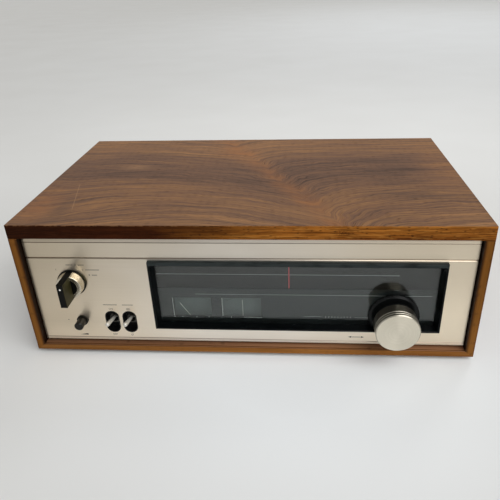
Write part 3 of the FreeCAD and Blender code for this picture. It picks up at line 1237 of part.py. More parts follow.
def front_subpanel():
    """Steel plate in front of the tray, with the pulley posts riveted to it."""
    plate = box((-CHASSIS_HALF, CHASSIS_HALF), (SUBPANEL_FRONT, SUBPANEL_BACK),
                (BOTTOM_THICKNESS, SLAB_UNDERSIDE - SUBPANEL_HEAD_GAP))
    for x, z in ((DRUM_X, DRUM_Z), (TUNING_X, TUNING_Z), (SELECTOR_X, SELECTOR_Z), (LEVEL_X, LEVEL_Z)):
        plate = plate.cut(rod_y(x, z, BUSH_RADIUS + SEAT, SUBPANEL_FRONT, SUBPANEL_BACK))
    half = PULLEY_WIDTH / 2
    head_back = CORD_Y - half - RUNNING
    shoulder = CORD_Y + half + RUNNING
    outline = [(0, head_back - POST_HEAD), (POST_HEAD_RADIUS, head_back - POST_HEAD),
               (POST_HEAD_RADIUS, head_back), (POST_RADIUS, head_back), (POST_RADIUS, shoulder),
               (POST_HEAD_RADIUS, shoulder), (POST_HEAD_RADIUS, SUBPANEL_FRONT), (0, SUBPANEL_FRONT)]
    places = [(PULLEY_LEFT_X, PULLEY_Z), (PULLEY_RIGHT_X, PULLEY_Z), (PULLEY_CENTRE_X, PULLEY_CENTRE_Z)]
    return fused([plate] + [turned_y(x, z, outline) for x, z in places])


def rear_panel():
    half = INNER_HALF - REAR_PANEL_GAP
    y = (REAR_PANEL_FRONT, REAR_FACE)
    plate = box((-half, half), y, (REAR_FOOT, SLAB_UNDERSIDE - REAR_PANEL_HEAD_GAP))
    for x, z in jack_places():
        plate = plate.cut(rod_y(x, z, JACK_SHELL_RADIUS + SEAT, *y))
    plate = plate.cut(rod_y(FUSE_X, REAR_FOOT + FUSE_RISE, FUSE_CAP_RADIUS + SEAT, *y))
    return plate.cut(rod_y(GROMMET_X, REAR_FOOT + GROMMET_RISE, GROMMET_NECK_RADIUS + SEAT, *y))


# Board, transformer and what stands on them

def main_board():
    return box((BOARD_LEFT, BOARD_RIGHT), (BOARD_FRONT, BOARD_BACK), (BOARD_UNDER, BOARD_TOP))


def board_parts():
    """Coil cans, small capacitors and two filter capacitors, all standing on the board."""
    pieces = []
    width = BOARD_RIGHT - BOARD_LEFT
    can_y = BOARD_FRONT + CAN_ROW_INSET
    filter_y = BOARD_BACK - FILTER_INSET
    for i in range(CANS):
        x = BOARD_LEFT + (i + 1) * width / (CANS + 1)
        pieces.append(box((x - CAN_SIZE / 2, x + CAN_SIZE / 2), (can_y - CAN_SIZE / 2, can_y + CAN_SIZE / 2),
                          (BOARD_TOP, BOARD_TOP + CAN_HEIGHT)))
    for i in range(ELCOS):
        x = BOARD_LEFT + (i + 1) * width / (ELCOS + 1)
        pieces.append(rod_z(x, filter_y - ELCO_FILTER_GAP, ELCO_RADIUS, BOARD_TOP, BOARD_TOP + ELCO_HEIGHT))
    for i in range(2):
        x = BOARD_RIGHT - FILTER_INSET - i * FILTER_PITCH
        pieces.append(rod_z(x, filter_y, FILTER_RADIUS, BOARD_TOP, BOARD_TOP + FILTER_HEIGHT))
    return Part.makeCompound(pieces)


def power_transformer():
    """Laminated core with a winding round its middle leg."""
    right = CHASSIS_HALF - CORE_RIGHT_GAP
    back = REAR_PANEL_FRONT - CORE_BACK_GAP
    middle = right - CORE_WIDTH / 2
    x = (right - CORE_WIDTH, right)
    y = (back - CORE_STACK, back)
    z = (TRAY_TOP, TRAY_TOP + CORE_HEIGHT)
    window_z = (z[0] + CORE_LEG, z[1] - CORE_LEG)
    leg_half = CORE_LEG
    core = box(x, y, z)
    core = core.cut(box((x[0] + CORE_LEG, middle - leg_half), y, window_z))
    core = core.cut(box((middle + leg_half, x[1] - CORE_LEG), y, window_z))
    winding = box((x[0] + CORE_LEG + LOOSE, x[1] - CORE_LEG - LOOSE),
                  (y[0] - WINDING_OVERHANG, y[1] + WINDING_OVERHANG),
                  (window_z[0] + LOOSE, window_z[1] - LOOSE))
    winding = winding.cut(box((middle - leg_half, middle + leg_half), y, window_z))
    return Part.makeCompound([core, winding])


# Rear connections

def jack_places():
    return [(JACK_X + i * JACK_PITCH_X, REAR_FOOT + JACK_RISE + k * JACK_PITCH_Z)
            for i in range(2) for k in range(2)]


def signal_jacks():
    """Four phono jacks with plain round shells."""
    flange_back = REAR_FACE + JACK_FLANGE
    shell_back = flange_back + JACK_SHELL_LENGTH
    outline = [(0, REAR_FACE - JACK_BODY_LENGTH), (JACK_SHELL_RADIUS, REAR_FACE - JACK_BODY_LENGTH),
               (JACK_SHELL_RADIUS, REAR_FACE), (JACK_FLANGE_RADIUS, REAR_FACE),
               (JACK_FLANGE_RADIUS, flange_back), (JACK_SHELL_RADIUS, flange_back),
               (JACK_SHELL_RADIUS, shell_back), (JACK_HOLE_RADIUS, shell_back),
               (JACK_HOLE_RADIUS, shell_back - JACK_HOLE_DEPTH), (0, shell_back - JACK_HOLE_DEPTH)]
    return Part.makeCompound([turned_y(x, z, outline) for x, z in jack_places()])


def terminal_places():
    return [TERMINAL_X + (i + 0.5) * TERMINAL_PITCH for i in range(TERMINALS)]


def terminal_block():
    """Aerial terminals: a moulded block with a well for each screw."""
    back = REAR_FACE + TERMINAL_DEPTH
    block = box((TERMINAL_X, TERMINAL_X + TERMINALS * TERMINAL_PITCH), (REAR_FACE, back),
                (TERMINAL_Z - TERMINAL_HEIGHT / 2, TERMINAL_Z + TERMINAL_HEIGHT / 2))
    for x in terminal_places():
        block = block.cut(rod_y(x, TERMINAL_Z, TERMINAL_WELL_RADIUS, back - TERMINAL_WELL, back))
    return block


def fuse_holder():
    z = REAR_FOOT + FUSE_RISE
    cap_back = REAR_FACE + FUSE_CAP_LENGTH
    outline = [(0, REAR_FACE - FUSE_BODY_LENGTH), (FUSE_CAP_RADIUS, REAR_FACE - FUSE_BODY_LENGTH),
               (FUSE_CAP_RADIUS, REAR_FACE), (FUSE_FLANGE_RADIUS, REAR_FACE),
               (FUSE_FLANGE_RADIUS, REAR_FACE + JACK_FLANGE), (FUSE_CAP_RADIUS, REAR_FACE + JACK_FLANGE),
               (FUSE_CAP_RADIUS, cap_back - MOULDED_EDGE), (FUSE_CAP_RADIUS - MOULDED_EDGE, cap_back),
               (0, cap_back)]
    return turned_y(FUSE_X, z, outline)


def cord_grommet():
    """Bush in the hole where the mains cord leaves; it has lips inside and outside the panel."""
    z = REAR_FOOT + GROMMET_RISE
    front = REAR_PANEL_FRONT - GROMMET_LIP
    back = REAR_FACE + GROMMET_LIP
    outline = [(GROMMET_BORE, front), (GROMMET_RADIUS, front), (GROMMET_RADIUS, REAR_PANEL_FRONT),
               (GROMMET_NECK_RADIUS, REAR_PANEL_FRONT), (GROMMET_NECK_RADIUS, REAR_FACE),
               (GROMMET_RADIUS, REAR_FACE), (GROMMET_RADIUS - MOULDED_EDGE, back), (GROMMET_BORE, back)]
    return turned_y(GROMMET_X, z, outline)


def aerial_bracket():
    """Plate with two lugs and the upright pin that the rod aerial swings on."""
    half_gap = AERIAL_TONGUE_THICKNESS / 2 + LOOSE
    outer = half_gap + AERIAL_LUG
    plate = box((AERIAL_X - AERIAL_PLATE_WIDTH / 2, AERIAL_X + AERIAL_PLATE_WIDTH / 2),
                (REAR_FACE, REAR_FACE + AERIAL_LUG),
                (AERIAL_Z - outer - AERIAL_PLATE_MARGIN, AERIAL_Z + outer + AERIAL_PLATE_MARGIN))
    pieces = [plate]
    for z in ((AERIAL_Z - outer, AERIAL_Z - half_gap), (AERIAL_Z + half_gap, AERIAL_Z + outer)):
        lug = box((AERIAL_X - AERIAL_LUG_HALF, AERIAL_X + AERIAL_LUG_HALF), (REAR_FACE, AERIAL_Y), z)
        pieces += [lug, rod_z(AERIAL_X, AERIAL_Y, AERIAL_LUG_HALF, *z)]
    pin_radius = AERIAL_PIN_RADIUS
    bracket = fused(pieces).cut(rod_z(AERIAL_X, AERIAL_Y, pin_radius, AERIAL_Z - outer, AERIAL_Z + outer))
    top = AERIAL_Z + outer
    head_top = top + AERIAL_PIN_HEAD
    head_edge = AERIAL_PIN_HEAD_RADIUS - AERIAL_PIN_HEAD / 2
    outline = [(0, AERIAL_Z - outer), (pin_radius, AERIAL_Z - outer), (pin_radius, top),
               (AERIAL_PIN_HEAD_RADIUS, top), (head_edge, head_top), (0, head_top)]
    return Part.makeCompound([bracket, turned_z(AERIAL_X, AERIAL_Y, outline)])


def aerial_rod():
    """Ferrite rod in its tube, with a flat tongue on the pin; it lies along the panel at rest."""
    start = AERIAL_X - AERIAL_LENGTH
    end = AERIAL_X - AERIAL_TONGUE
    tube = rod_x(AERIAL_Y, AERIAL_Z, AERIAL_RADIUS, start, end)
    tube = tube.makeFillet(AERIAL_ROUND, tube.Edges)
    half = AERIAL_TONGUE_THICKNESS / 2
    z = (AERIAL_Z - half, AERIAL_Z + half)
    tongue_y = (AERIAL_Y - AERIAL_TONGUE_HALF, AERIAL_Y + AERIAL_TONGUE_HALF)
    tongue = box((end - AERIAL_RADIUS, AERIAL_X), tongue_y, z)
    eye = rod_z(AERIAL_X, AERIAL_Y, AERIAL_TONGUE_HALF, *z)
    rod = fused([tube, tongue, eye])
    return rod.cut(rod_z(AERIAL_X, AERIAL_Y, AERIAL_PIN_RADIUS + RUNNING, *z))


def cabinet_left_side():
    return cabinet_side(-1)


def cabinet_right_side():
    return cabinet_side(1)


NODES = [cabinet_top, cabinet_left_side, cabinet_right_side, cabinet_bottom, cabinet_battens, feet,
         fixing_screws, fascia, fascia_pillars, window_bezel, knob_escutcheon, dial_glass, dial_mask,
         dial_backplate, dial_lamps, pointer_rail, pointer_needle, pointer_carriage, dial_cord, pulley_left,
         pulley_right, pulley_centre, cord_drum, drum_shaft, shaft_bushes, tuning_cap, tuning_hub,
         tuning_shaft, flywheel, gang_frame, gang_stator, gang_rotor, rotor_gear, meter_cases, meter_scales,
         signal_needle, tuning_needle, selector_handle, selector_collar, selector_shaft, selector_switch,
         level_knob, level_pot, toggle_recesses, toggle_bodies, toggle_bushes, left_lever, right_lever,
         chassis, front_subpanel, rear_panel, main_board, board_parts, power_transformer, signal_jacks,
         terminal_block, fuse_holder, cord_grommet, aerial_bracket, aerial_rod]


def main():
    os.makedirs("parts", exist_ok=True)
    shapes = {node.__name__: node() for node in NODES}
    front = min(shape.BoundBox.YMin for shape in shapes.values())
    back = max(shape.BoundBox.YMax for shape in shapes.values())
    to_row_frame = V(0, -(front + back) / 2, FOOT_HEIGHT)
    for name, shape in shapes.items():
        shape.translate(to_row_frame)
        shape.exportStep(os.path.join("parts", name + ".step"))
    print("nodes", len(shapes), "moved by", to_row_frame)


main()
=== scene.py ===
import math
from collections import namedtuple

import bmesh
import bpy
from mathutils import Matrix, Vector


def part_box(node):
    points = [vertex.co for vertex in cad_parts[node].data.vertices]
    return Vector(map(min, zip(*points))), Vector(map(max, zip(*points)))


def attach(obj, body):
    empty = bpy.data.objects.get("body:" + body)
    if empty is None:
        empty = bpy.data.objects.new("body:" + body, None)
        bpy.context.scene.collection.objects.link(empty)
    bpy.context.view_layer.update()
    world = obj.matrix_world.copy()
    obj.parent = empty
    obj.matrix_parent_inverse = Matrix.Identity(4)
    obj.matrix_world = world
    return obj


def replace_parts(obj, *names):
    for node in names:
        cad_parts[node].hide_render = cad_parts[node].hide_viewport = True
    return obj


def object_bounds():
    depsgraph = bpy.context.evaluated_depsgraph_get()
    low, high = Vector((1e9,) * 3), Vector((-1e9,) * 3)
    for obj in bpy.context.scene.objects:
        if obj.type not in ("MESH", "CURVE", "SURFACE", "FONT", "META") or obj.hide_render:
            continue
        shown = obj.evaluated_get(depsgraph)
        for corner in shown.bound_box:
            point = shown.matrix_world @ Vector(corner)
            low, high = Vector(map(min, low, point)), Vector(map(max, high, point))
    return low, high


# Looks of an AM-FM stereo tuner in a walnut cabinet: finishes, printed marks and small fasteners, with the
# camera, floor and lamps.
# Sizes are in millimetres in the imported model's frame and become metres where Blender takes them.

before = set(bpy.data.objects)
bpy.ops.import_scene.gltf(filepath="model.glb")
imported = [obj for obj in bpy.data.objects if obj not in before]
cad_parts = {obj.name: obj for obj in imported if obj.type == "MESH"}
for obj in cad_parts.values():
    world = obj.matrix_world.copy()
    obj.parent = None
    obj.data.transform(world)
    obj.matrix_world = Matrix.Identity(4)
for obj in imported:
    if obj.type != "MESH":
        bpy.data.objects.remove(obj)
CAD_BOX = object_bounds()
MM = 0.001
TINY = 1e-6

# Camera, at the photograph's viewing angle in its square picture
CAMERA_PLACE = (48.6, -517.3, 352.1)
CAMERA_AZIMUTH = -4.443
CAMERA_ELEVATION = -26.52
CAMERA_ROLL = -1.886
SENSOR = 36.0
FOCAL_LENGTH = 36.9
CAMERA_SHIFT = (-0.0248, -0.0547)
CAMERA_CLIP_METRES = (0.01, 50.0)

# Floor and light
FLOOR_RADIUS = 20000.0
FLOOR_SEGMENTS = 96
# Painted pools of light on the floor: a soft one before the object and a wide one far behind it
FLOOR_LIGHT_POOL = (60.0, -125.0)
FLOOR_LIGHT_POOL_REACH = (240.0, 165.0)
FLOOR_FAR_LIGHT_POOL = (900.0, 2600.0)
FLOOR_FAR_REACH = (1500.0, 2200.0)
FLOOR_FAR_SHARE = 0.55
WORLD_HORIZON = 0.74
WORLD_ZENITH = 0.42
WORLD_ZENITH_RISE = 0.9
KEY_FROM = (0.55, -0.55, 0.80)
KEY_ANGLE = 55.0
KEY_STRENGTH = 2.0
STRIP_PLACES = ((-70.0, 560.0, 900.0), (640.0, 560.0, 900.0))
STRIP_SIZE = (220.0, 500.0)
STRIP_WATTS = 1.4
STRIP_AIM = (0.0, 0.0, 70.0)

# Glass pane
GLASS_INDEX = 1.50
PANE_HOLE_RADIUS = 4.5
PANE_CLEARANCE = 0.15
PANE_STEPS = 64

# Pan-head screws of the rear panel. The rim's height is a share of the head's, turns are in radians
SCREW_RADIUS = 3.3
SCREW_HEIGHT = 1.7
SCREW_RIM_SHARE = 0.5
SCREW_INSET = 7.0
CROSS_REACH = 1.9
CROSS_HALF_WIDTH = 0.36
CROSS_DEPTH = 0.8
SCREW_TURNS = (0.5, 1.6, 2.7, 1.2, 2.3, 3.4)
SCREW_RINGS = 12
SCREW_SEGMENTS = 32

# Printed marks
INK_THICKNESS = 0.03
INK_GAP = 0.01
RULE_WIDTH = 0.6
FIGURE_HEIGHT = 2.0
SWITCH_HEIGHT = 1.9
CAPITAL_SHARE = 0.7
FIGURE_CURVE_STEPS = 3
DOT_RISE = 7.7
DOT_RADIUS = 0.9

# Marks on the fascia, measured from the middle of the control that they belong to
SELECTOR_FIGURES = (("1", -13.6, 14.0), ("2", 6.4, 19.3), ("3", 13.0, 13.9), ("4", 18.3, 8.1))
SELECTOR_RULES = ((-3.0, 4.0, 19.3), (9.0, 15.0, 19.3), (15.5, 29.0, 13.9), (20.8, 26.0, 8.1))
LEVEL_WEDGE = ((-5.6, -18.4), (2.4, -18.9), (2.4, -16.9))
LEVEL_DOT_LEFT = 14.7
LEVEL_DOT_RADIUS = 0.5
SWITCH_RULE_RISE = 20.4
SWITCH_RULE_HALVES = (7.0, 5.5)
SWITCH_MARK_RISE = 15.4
SWITCH_MARK_DROP = 16.0
RING_SPREAD = 0.8
RING_RADIUS = 1.0
RING_WIDTH = 0.3
ARROWS_LEFT = 35.1
ARROWS_DROP = 23.2
ARROW_STEM = 4.0
ARROW_TIP = 7.8
ARROW_ROOT = 4.6
ARROW_HALF_WIDTH = 1.1

# Marks of the dial. Heights of figures and ticks are from its line, the line's is from the window's foot
PLATE_THICKNESS = 1.5
DIAL_LINE_RISE = 54.3
DIAL_LINE_INSETS = (2.7, 39.4)
DIAL_LINE_HALF = 0.22
DIAL_INSETS = (22.0, 50.0)
TICK_HALF = 0.15

# Bands of the dial: figures, how they spread along it, their rise and height, and the limits of the ticks
DIAL_BANDS = (
    (range(88, 109, 2), float, 7.0, 3.2, (1.2, 3.2)),
    ((53, 60, 70, 80, 100, 120, 140, 160), math.log, -6.0, 2.8, (-3.0, -1.2)),
)

# Marks on the mask, placed from the window's foot and right end and from a meter's or the knob's middle
MASK_LINE_START = (3.7, 35.4)
MASK_LINE_END_INSET = 8.4
MASK_LINE_END_RISE = 35.6
MASK_LINE_WIDTH = 0.35
KNOB_LINES = (((-86.0, 10.3), (-69.5, 10.2)), ((-37.0, 9.8), (-24.0, 9.5)))
KNOB_LINE_WIDTH = 0.25
METER_EDGE = ((-19.6, -19.15), (9.5, 31.0))
METER_DOTS = ((-19.0, -11.0, 3.3, 15.7), (-11.0,))
METER_DOT_RISE = 8.2
METER_DOT_RADIUS = 0.45
METER_FOOT_BAR = ((1.5, 19.7), (8.0, 8.45))
ROW_START = -65.0
ROW_STEP = 3.0
ROW_COUNT = 9
ROW_HALF = 0.2
ROW_RISE = (9.2, 10.6)

# Marks on the meters' scales
METER_ARC_RADIUS = 27.0
METER_TICK_RADIUS = 29.0
METER_ARC_ENDS = (55, 125)
METER_TICK_STEP = 10
METER_LINE_WIDTH = 0.25
METER_PIVOT_DROP = 15.0


def extent(node):
    """A node's limits in millimetres, as (low, high) on each axis."""
    low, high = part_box(node)
    return [(a / MM, b / MM) for a, b in zip(low, high)]


def middle(node):
    return [(a + b) / 2 for a, b in extent(node)]


def shifted(limits, distance):
    return [limit + distance for limit in limits]


def below(top, depths):
    """Heights that lie those depths below a top."""
    return [top - depth for depth in depths]


FASCIA = extent("fascia")
BEZEL = extent("window_bezel")
GLASS = extent("dial_glass")
MASK = extent("dial_mask")
BACKPLATE = extent("dial_backplate")
SCALES = extent("meter_scales")
TOP = extent("cabinet_top")
REAR = extent("rear_panel")
LEFT_SIDE = extent("cabinet_left_side")
SILL = extent("cabinet_bottom")
SELECTOR_AXIS = (middle("selector_collar")[0], middle("selector_collar")[2])
LEVEL_AXIS = (middle("level_knob")[0], middle("level_knob")[2])
TUNING_AXIS = (middle("tuning_cap")[0], middle("tuning_cap")[2])
LEVER_XS = (middle("left_lever")[0], middle("right_lever")[0])
TOGGLE_Z = middle("toggle_recesses")[2]

# The signal needle rests at its stop, so its meter's middle is mirrored from the other meter's
TUNING_METER_X = middle("tuning_needle")[0]
METER_XS = (sum(SCALES[0]) - TUNING_METER_X, TUNING_METER_X)


# Colours and node trees

def rgb(red, green, blue):
    """Display values from 0 to 255 as the linear colour that renders like them."""
    def linear(value):
        share = value / 255
        return share / 12.92 if share <= 0.04045 else ((share + 0.055) / 1.055) ** 2.4
    return (linear(red), linear(green), linear(blue), 1.0)


def tones(*stops):
    """Stops of a colour ramp from (position, red, green, blue), in display values."""
    return [(place, rgb(*tint)) for place, *tint in stops]


class Wire:
    """An output socket. Arithmetic on it adds Math nodes."""

    def __init__(self, finish, socket):
        self.finish = finish
        self.socket = socket

    def math(self, operation, *others):
        node = self.finish.add("Math", operation=operation)
        for slot, operand in zip(node.inputs, (self,) + others):
            self.finish.feed(slot, operand)
        return Wire(self.finish, node.outputs[0])

    def __add__(self, other):
        return self.math("ADD", other)

    def __sub__(self, other):
        return self.math("SUBTRACT", other)

    def __mul__(self, other):
        return self.math("MULTIPLY", other)

    def __truediv__(self, other):
        return self.math("DIVIDE", other)

    def between(self, low, high, start=0.0, end=1.0):
        """Runs from start to end as this goes from low to high, and stays there outside."""
        node = self.finish.add("MapRange")
        for slot, operand in zip(node.inputs, (self, low, high, start, end)):
            self.finish.feed(slot, operand)
        return Wire(self.finish, node.outputs[0])

    def hump(self, centre, width):
        """A smooth bump of height 1 at centre, all but gone two widths away."""
        away = (self - centre) / width
        return (away * away * -1.0).math("EXPONENT")


class Finish:
    """A material under construction, with short names for the nodes that it uses."""

    def __init__(self, name):
        self.material = bpy.data.materials.new(name)
        self.material.use_nodes = True
        self.tree = self.material.node_tree
        self.tree.nodes.clear()
        place = self.parts(self.output("TexCoord", "Object"))
        self.place = tuple(part / MM for part in place)
        self.x, self.y, self.z = self.place
        self.facing = self.parts(self.output("NewGeometry", "Normal"))

    def add(self, kind, **settings):
        node = self.tree.nodes.new("ShaderNode" + kind)
        for key, value in settings.items():
            setattr(node, key, value)
        return node

    def feed(self, slot, operand):
        if isinstance(operand, Wire):
            self.tree.links.new(operand.socket, slot)
        else:
            slot.default_value = operand

    def output(self, kind, socket, **settings):
        return Wire(self, self.add(kind, **settings).outputs[socket])

    def parts(self, vector):
        node = self.add("SeparateXYZ")
        self.feed(node.inputs[0], vector)
        return [Wire(self, socket) for socket in node.outputs]

    def vector(self, x, y, z):
        node = self.add("CombineXYZ")
        for slot, operand in zip(node.inputs, (x, y, z)):
            self.feed(slot, operand)
        return Wire(self, node.outputs[0])

    def away_from(self, x, z):
        """Distance from an axis that runs from front to back through (x, z)."""
        return ((self.x - x).math("POWER", 2.0) + (self.z - z).math("POWER", 2.0)).math("SQRT")

    def noise(self, place, size, detail=4.0, roughness=0.55):
        """Noise from 0 to 1 at a place in millimetres; size is its feature size on each axis."""
        scaled = self.vector(*(p / s for p, s in zip(place, size)))
        node = self.add("TexNoise")
        self.feed(node.inputs["Vector"], scaled)
        for name, value in (("Scale", 1.0), ("Detail", detail), ("Roughness", roughness)):
            node.inputs[name].default_value = value
        return Wire(self, node.outputs[0])

    def flecks(self, place, size, share):
        """1 in scattered small cells, about that share of them, and 0 between."""
        scaled = self.vector(*(p / s for p, s in zip(place, size)))
        node = self.add("TexVoronoi", feature="F1")
        self.feed(node.inputs["Vector"], scaled)
        node.inputs["Scale"].default_value = 1.0
        chosen = self.parts(Wire(self, node.outputs["Color"]))[0].math("LESS_THAN", share)
        return Wire(self, node.outputs["Distance"]).between(0.15, 0.42, 1.0, 0.0) * chosen

    def ramp(self, factor, stops, interpolation="LINEAR"):
        """Colour along a ramp of (position, colour) stops."""
        node = self.add("ValToRGB")
        node.color_ramp.interpolation = interpolation
        elements = node.color_ramp.elements
        while len(elements) < len(stops):
            elements.new(0.5)
        for element, (position, colour) in zip(elements, stops):
            element.position = position
            element.color = colour
        self.feed(node.inputs[0], factor)
        return Wire(self, node.outputs[0])

    def shade(self, factor, low, high, start=0.35, end=0.65):
        """Colour from low to high, both in display values, as factor goes from start to end."""
        return self.ramp(factor, tones((start, *low), (end, *high)))

    def mix(self, share, first, second, blend="MIX"):
        """Colour that goes from first to second as share goes from 0 to 1."""
        node = self.add("Mix", data_type="RGBA", blend_type=blend)
        for slot, operand in zip((node.inputs[0], node.inputs[6], node.inputs[7]), (share, first, second)):
            self.feed(slot, operand)
        return Wire(self, node.outputs[2])

    def blend(self, share, first, second):
        """Number that goes from first to second as share goes from 0 to 1."""
        return share.between(0.0, 1.0, first, second)

    def bump(self, height):
        """Normal that follows a height in millimetres."""
        node = self.add("Bump")
        node.inputs["Strength"].default_value = 1.0
        node.inputs["Distance"].default_value = MM
        self.feed(node.inputs["Height"], height)
        return Wire(self, node.outputs[0])

    def surface(self, colour, roughness, height=None, **sockets):
        """Ends the material in a Principled shader. Other sockets are named with _ for each space."""
        shader = self.add("BsdfPrincipled")
        self.feed(shader.inputs["Base Color"], colour)
        self.feed(shader.inputs["Roughness"], roughness)
        if height is not None:
            self.feed(shader.inputs["Normal"], self.bump(height))
        for key, value in sockets.items():
            self.feed(shader.inputs[key.replace("_", " ")], value)
        out = self.add("OutputMaterial")
        self.tree.links.new(shader.outputs[0], out.inputs["Surface"])
        return self.material


# Wood

# The grain on top dips along a line from its head at the back to its foot at the front, both as (x, y)
DIP_FOOT = (75.0, -87.0)
DIP_HEAD = (-14.0, 80.0)
DIP_LEFT_REACH = 150.0
DIP_RIGHT_REACH = 36.0
DIP_AT_FRONT = 52.0
DIP_AT_BACK = 24.0
TOP_HALF_DEPTH = (TOP[1][1] - TOP[1][0]) / 2

# How grey the top is along its depth, as (millimetres behind the middle, share)
GREY_ZONES = ((-120, 0.15), (-95, 0.10), (-78, 0.30), (-64, 0.15), (-48, 0.35), (-34, 0.20), (-14, 0.75),
              (10, 1.0), (45, 0.95), (70, 0.75), (86, 0.20), (104, 0.05), (140, 0.15))
GREY_FADES = (165.0, 212.0)

# The grain rises far to the left, most at the front, and a warm streak follows the dip
FAR_LEFT = (-200.0, -70.0)
FAR_LEFT_DEPTHS = (-100.0, -30.0)
FAR_LEFT_RISE = (34.0, 6.0)
WARM_STREAK = (-4.0, 13.0)

# Tones of each face, from dark grain to pale
TOP_TONES = tones((0.0, 66, 50, 42), (0.25, 96, 73, 59), (0.45, 113, 84, 65), (0.65, 132, 97, 67),
                  (1.0, 154, 114, 78))
SLAB_TONES = tones((0.30, 58, 26, 6), (0.46, 116, 66, 20), (0.60, 150, 94, 34), (0.78, 172, 116, 54))
SLAB_DARK_TONES = tones((0.36, 12, 3, 0), (0.47, 36, 12, 2), (0.58, 60, 26, 7), (0.72, 92, 50, 18))
SIDE_TONES = tones((0.30, 66, 40, 22), (0.46, 98, 62, 32), (0.58, 120, 76, 40), (0.74, 142, 94, 54))
SIDE_FRONT_TONES = tones((0.30, 70, 40, 12), (0.46, 106, 66, 22), (0.60, 128, 82, 32), (0.76, 146, 98, 46))
SILL_FRONT_TONES = tones((0.30, 70, 38, 12), (0.46, 116, 72, 28), (0.60, 144, 94, 42), (0.76, 166, 114, 58))
SILL_UNDER_TONES = tones((0.30, 96, 70, 48), (0.50, 122, 92, 64), (0.75, 142, 110, 80))
SILL_UPPER_TONES = tones((0.32, 110, 74, 50), (0.50, 140, 99, 70), (0.72, 164, 122, 88))
BATTEN_TONES = tones((0.30, 150, 116, 80), (0.50, 176, 142, 102), (0.75, 196, 164, 124))
WALNUT_ORANGE = rgb(146, 97, 60)
WALNUT_GREY = rgb(88, 69, 58)
WALNUT_PALE = rgb(172, 134, 98)
WALNUT_PORE = rgb(56, 38, 28)

# Soft patches on top: middle, reach on each axis, colour and strength
TOP_PATCHES = (
    ((-28.0, 86.0), (22.0, 26.0), WALNUT_ORANGE, 0.40),
    ((-204.0, -72.0), (15.0, 30.0), WALNUT_ORANGE, 0.60),
    ((-140.0, 32.0), (15.0, 8.0), WALNUT_PALE, 0.35),
    ((-178.0, -86.0), (9.0, 28.0), WALNUT_GREY, 0.55),
    ((160.0, -50.0), (42.0, 12.0), WALNUT_GREY, 0.75),
    ((206.0, 30.0), (22.0, 60.0), WALNUT_ORANGE, 0.20),
)
SCRATCH = ((-187.0, -15.0), (-168.0, -86.0))
SCRATCH_WIDTH = 0.35
SCRATCH_FADE = 8.0

# The slab's front edge: where it turns from dark to golden and brightens, its knot and its worn upper arris
EDGE_DARKEST = (-220.0, -110.0)
EDGE_TURN = (-90.0, 15.0)
EDGE_GOLDEN = (-60.0, 60.0)
EDGE_BRIGHTENS = (-20.0, 30.0)
KNOT_PLACE = (88.0, TOP[2][1] - 7.0)
KNOT_REACH = (7.0, 2.6)
ARRIS_DEPTHS = (1.3, 0.4)

# The sides' front edges, dark near the outer arris and the inner one, and the sill's, dark at its arris
SIDE_ARRIS_DEPTHS = (0.3, 2.2)
SIDE_INNER_DEPTHS = (3.0, 0.6)
SILL_ARRIS_DEPTHS = (1.1, 0.5)
# Painted light along the sill, darker at its left end and brighter towards its right, as limits
SILL_PAINTED_LIGHT = (-180.0, 80.0)

# A wood's colour, and its tone, pores, rings and fibre from 0 to 1
Grain = namedtuple("Grain", "colour tone pores rings fibre")


def grain(f, u, v, w, stops, wander):
    """Straight grain. u runs along it, v across it and w into the wood; it wanders by that much."""
    drift = f.noise((u, v, w), (150.0, 55.0, 60.0), detail=2.0)
    along = (u, v + (drift - 0.5) * wander, w)
    broad = f.noise(along, (300.0, 26.0, 60.0), detail=3.0)
    rings = f.noise(along, (260.0, 3.4, 40.0), detail=5.0, roughness=0.62)
    fibre = f.noise(along, (14.0, 0.5, 20.0), detail=3.0, roughness=0.7)
    tone = broad * 0.62 + rings * 0.42 + fibre * 0.14 - 0.10
    pores = f.flecks(along, (7.0, 0.6, 8.0), 0.30)
    return Grain(f.ramp(tone, stops, "B_SPLINE"), tone, pores, rings, fibre)


def oiled(f, colour, wood, gloss, specular):
    """Ends a walnut finish: rings and fibre stand up a little, pores are sunk and duller."""
    rough = f.blend(wood.tone, *gloss) + wood.pores * 0.12
    height = wood.rings * 0.012 + wood.fibre * 0.006 - wood.pores * 0.02
    return f.surface(colour, rough, height, Specular_IOR_Level=specular)


def dipping_lane(f):
    """Distance right of the dip, and the line of the grain that each point lies on."""
    slope = (DIP_HEAD[0] - DIP_FOOT[0]) / (DIP_HEAD[1] - DIP_FOOT[1])
    beside = f.x - ((f.y - DIP_FOOT[1]) * slope + DIP_FOOT[0])
    beside = beside + (f.noise(f.place, (38.0, 30.0, 60.0), detail=2.0) - 0.5) * 26.0
    fall = beside.between(-DIP_LEFT_REACH, 0.0).math("POWER", 1.9)
    rise = (beside.math("MAXIMUM", 0.0) / -DIP_RIGHT_REACH).math("EXPONENT")
    depth = f.y.between(-TOP_HALF_DEPTH, TOP_HALF_DEPTH, DIP_AT_FRONT, DIP_AT_BACK)
    far_left = f.x.between(*FAR_LEFT, 1.0, 0.0).math("POWER", 2.0)
    left_rise = f.y.between(*FAR_LEFT_DEPTHS, *FAR_LEFT_RISE)
    wander = (f.noise(f.place, (120.0, 50.0, 60.0), detail=2.0) - 0.5) * 22.0
    ripple = (f.noise(f.place, (16.0, 12.0, 60.0), detail=1.0) - 0.5) * 3.5
    return beside, f.y + fall * rise * depth + far_left * left_rise + wander + ripple


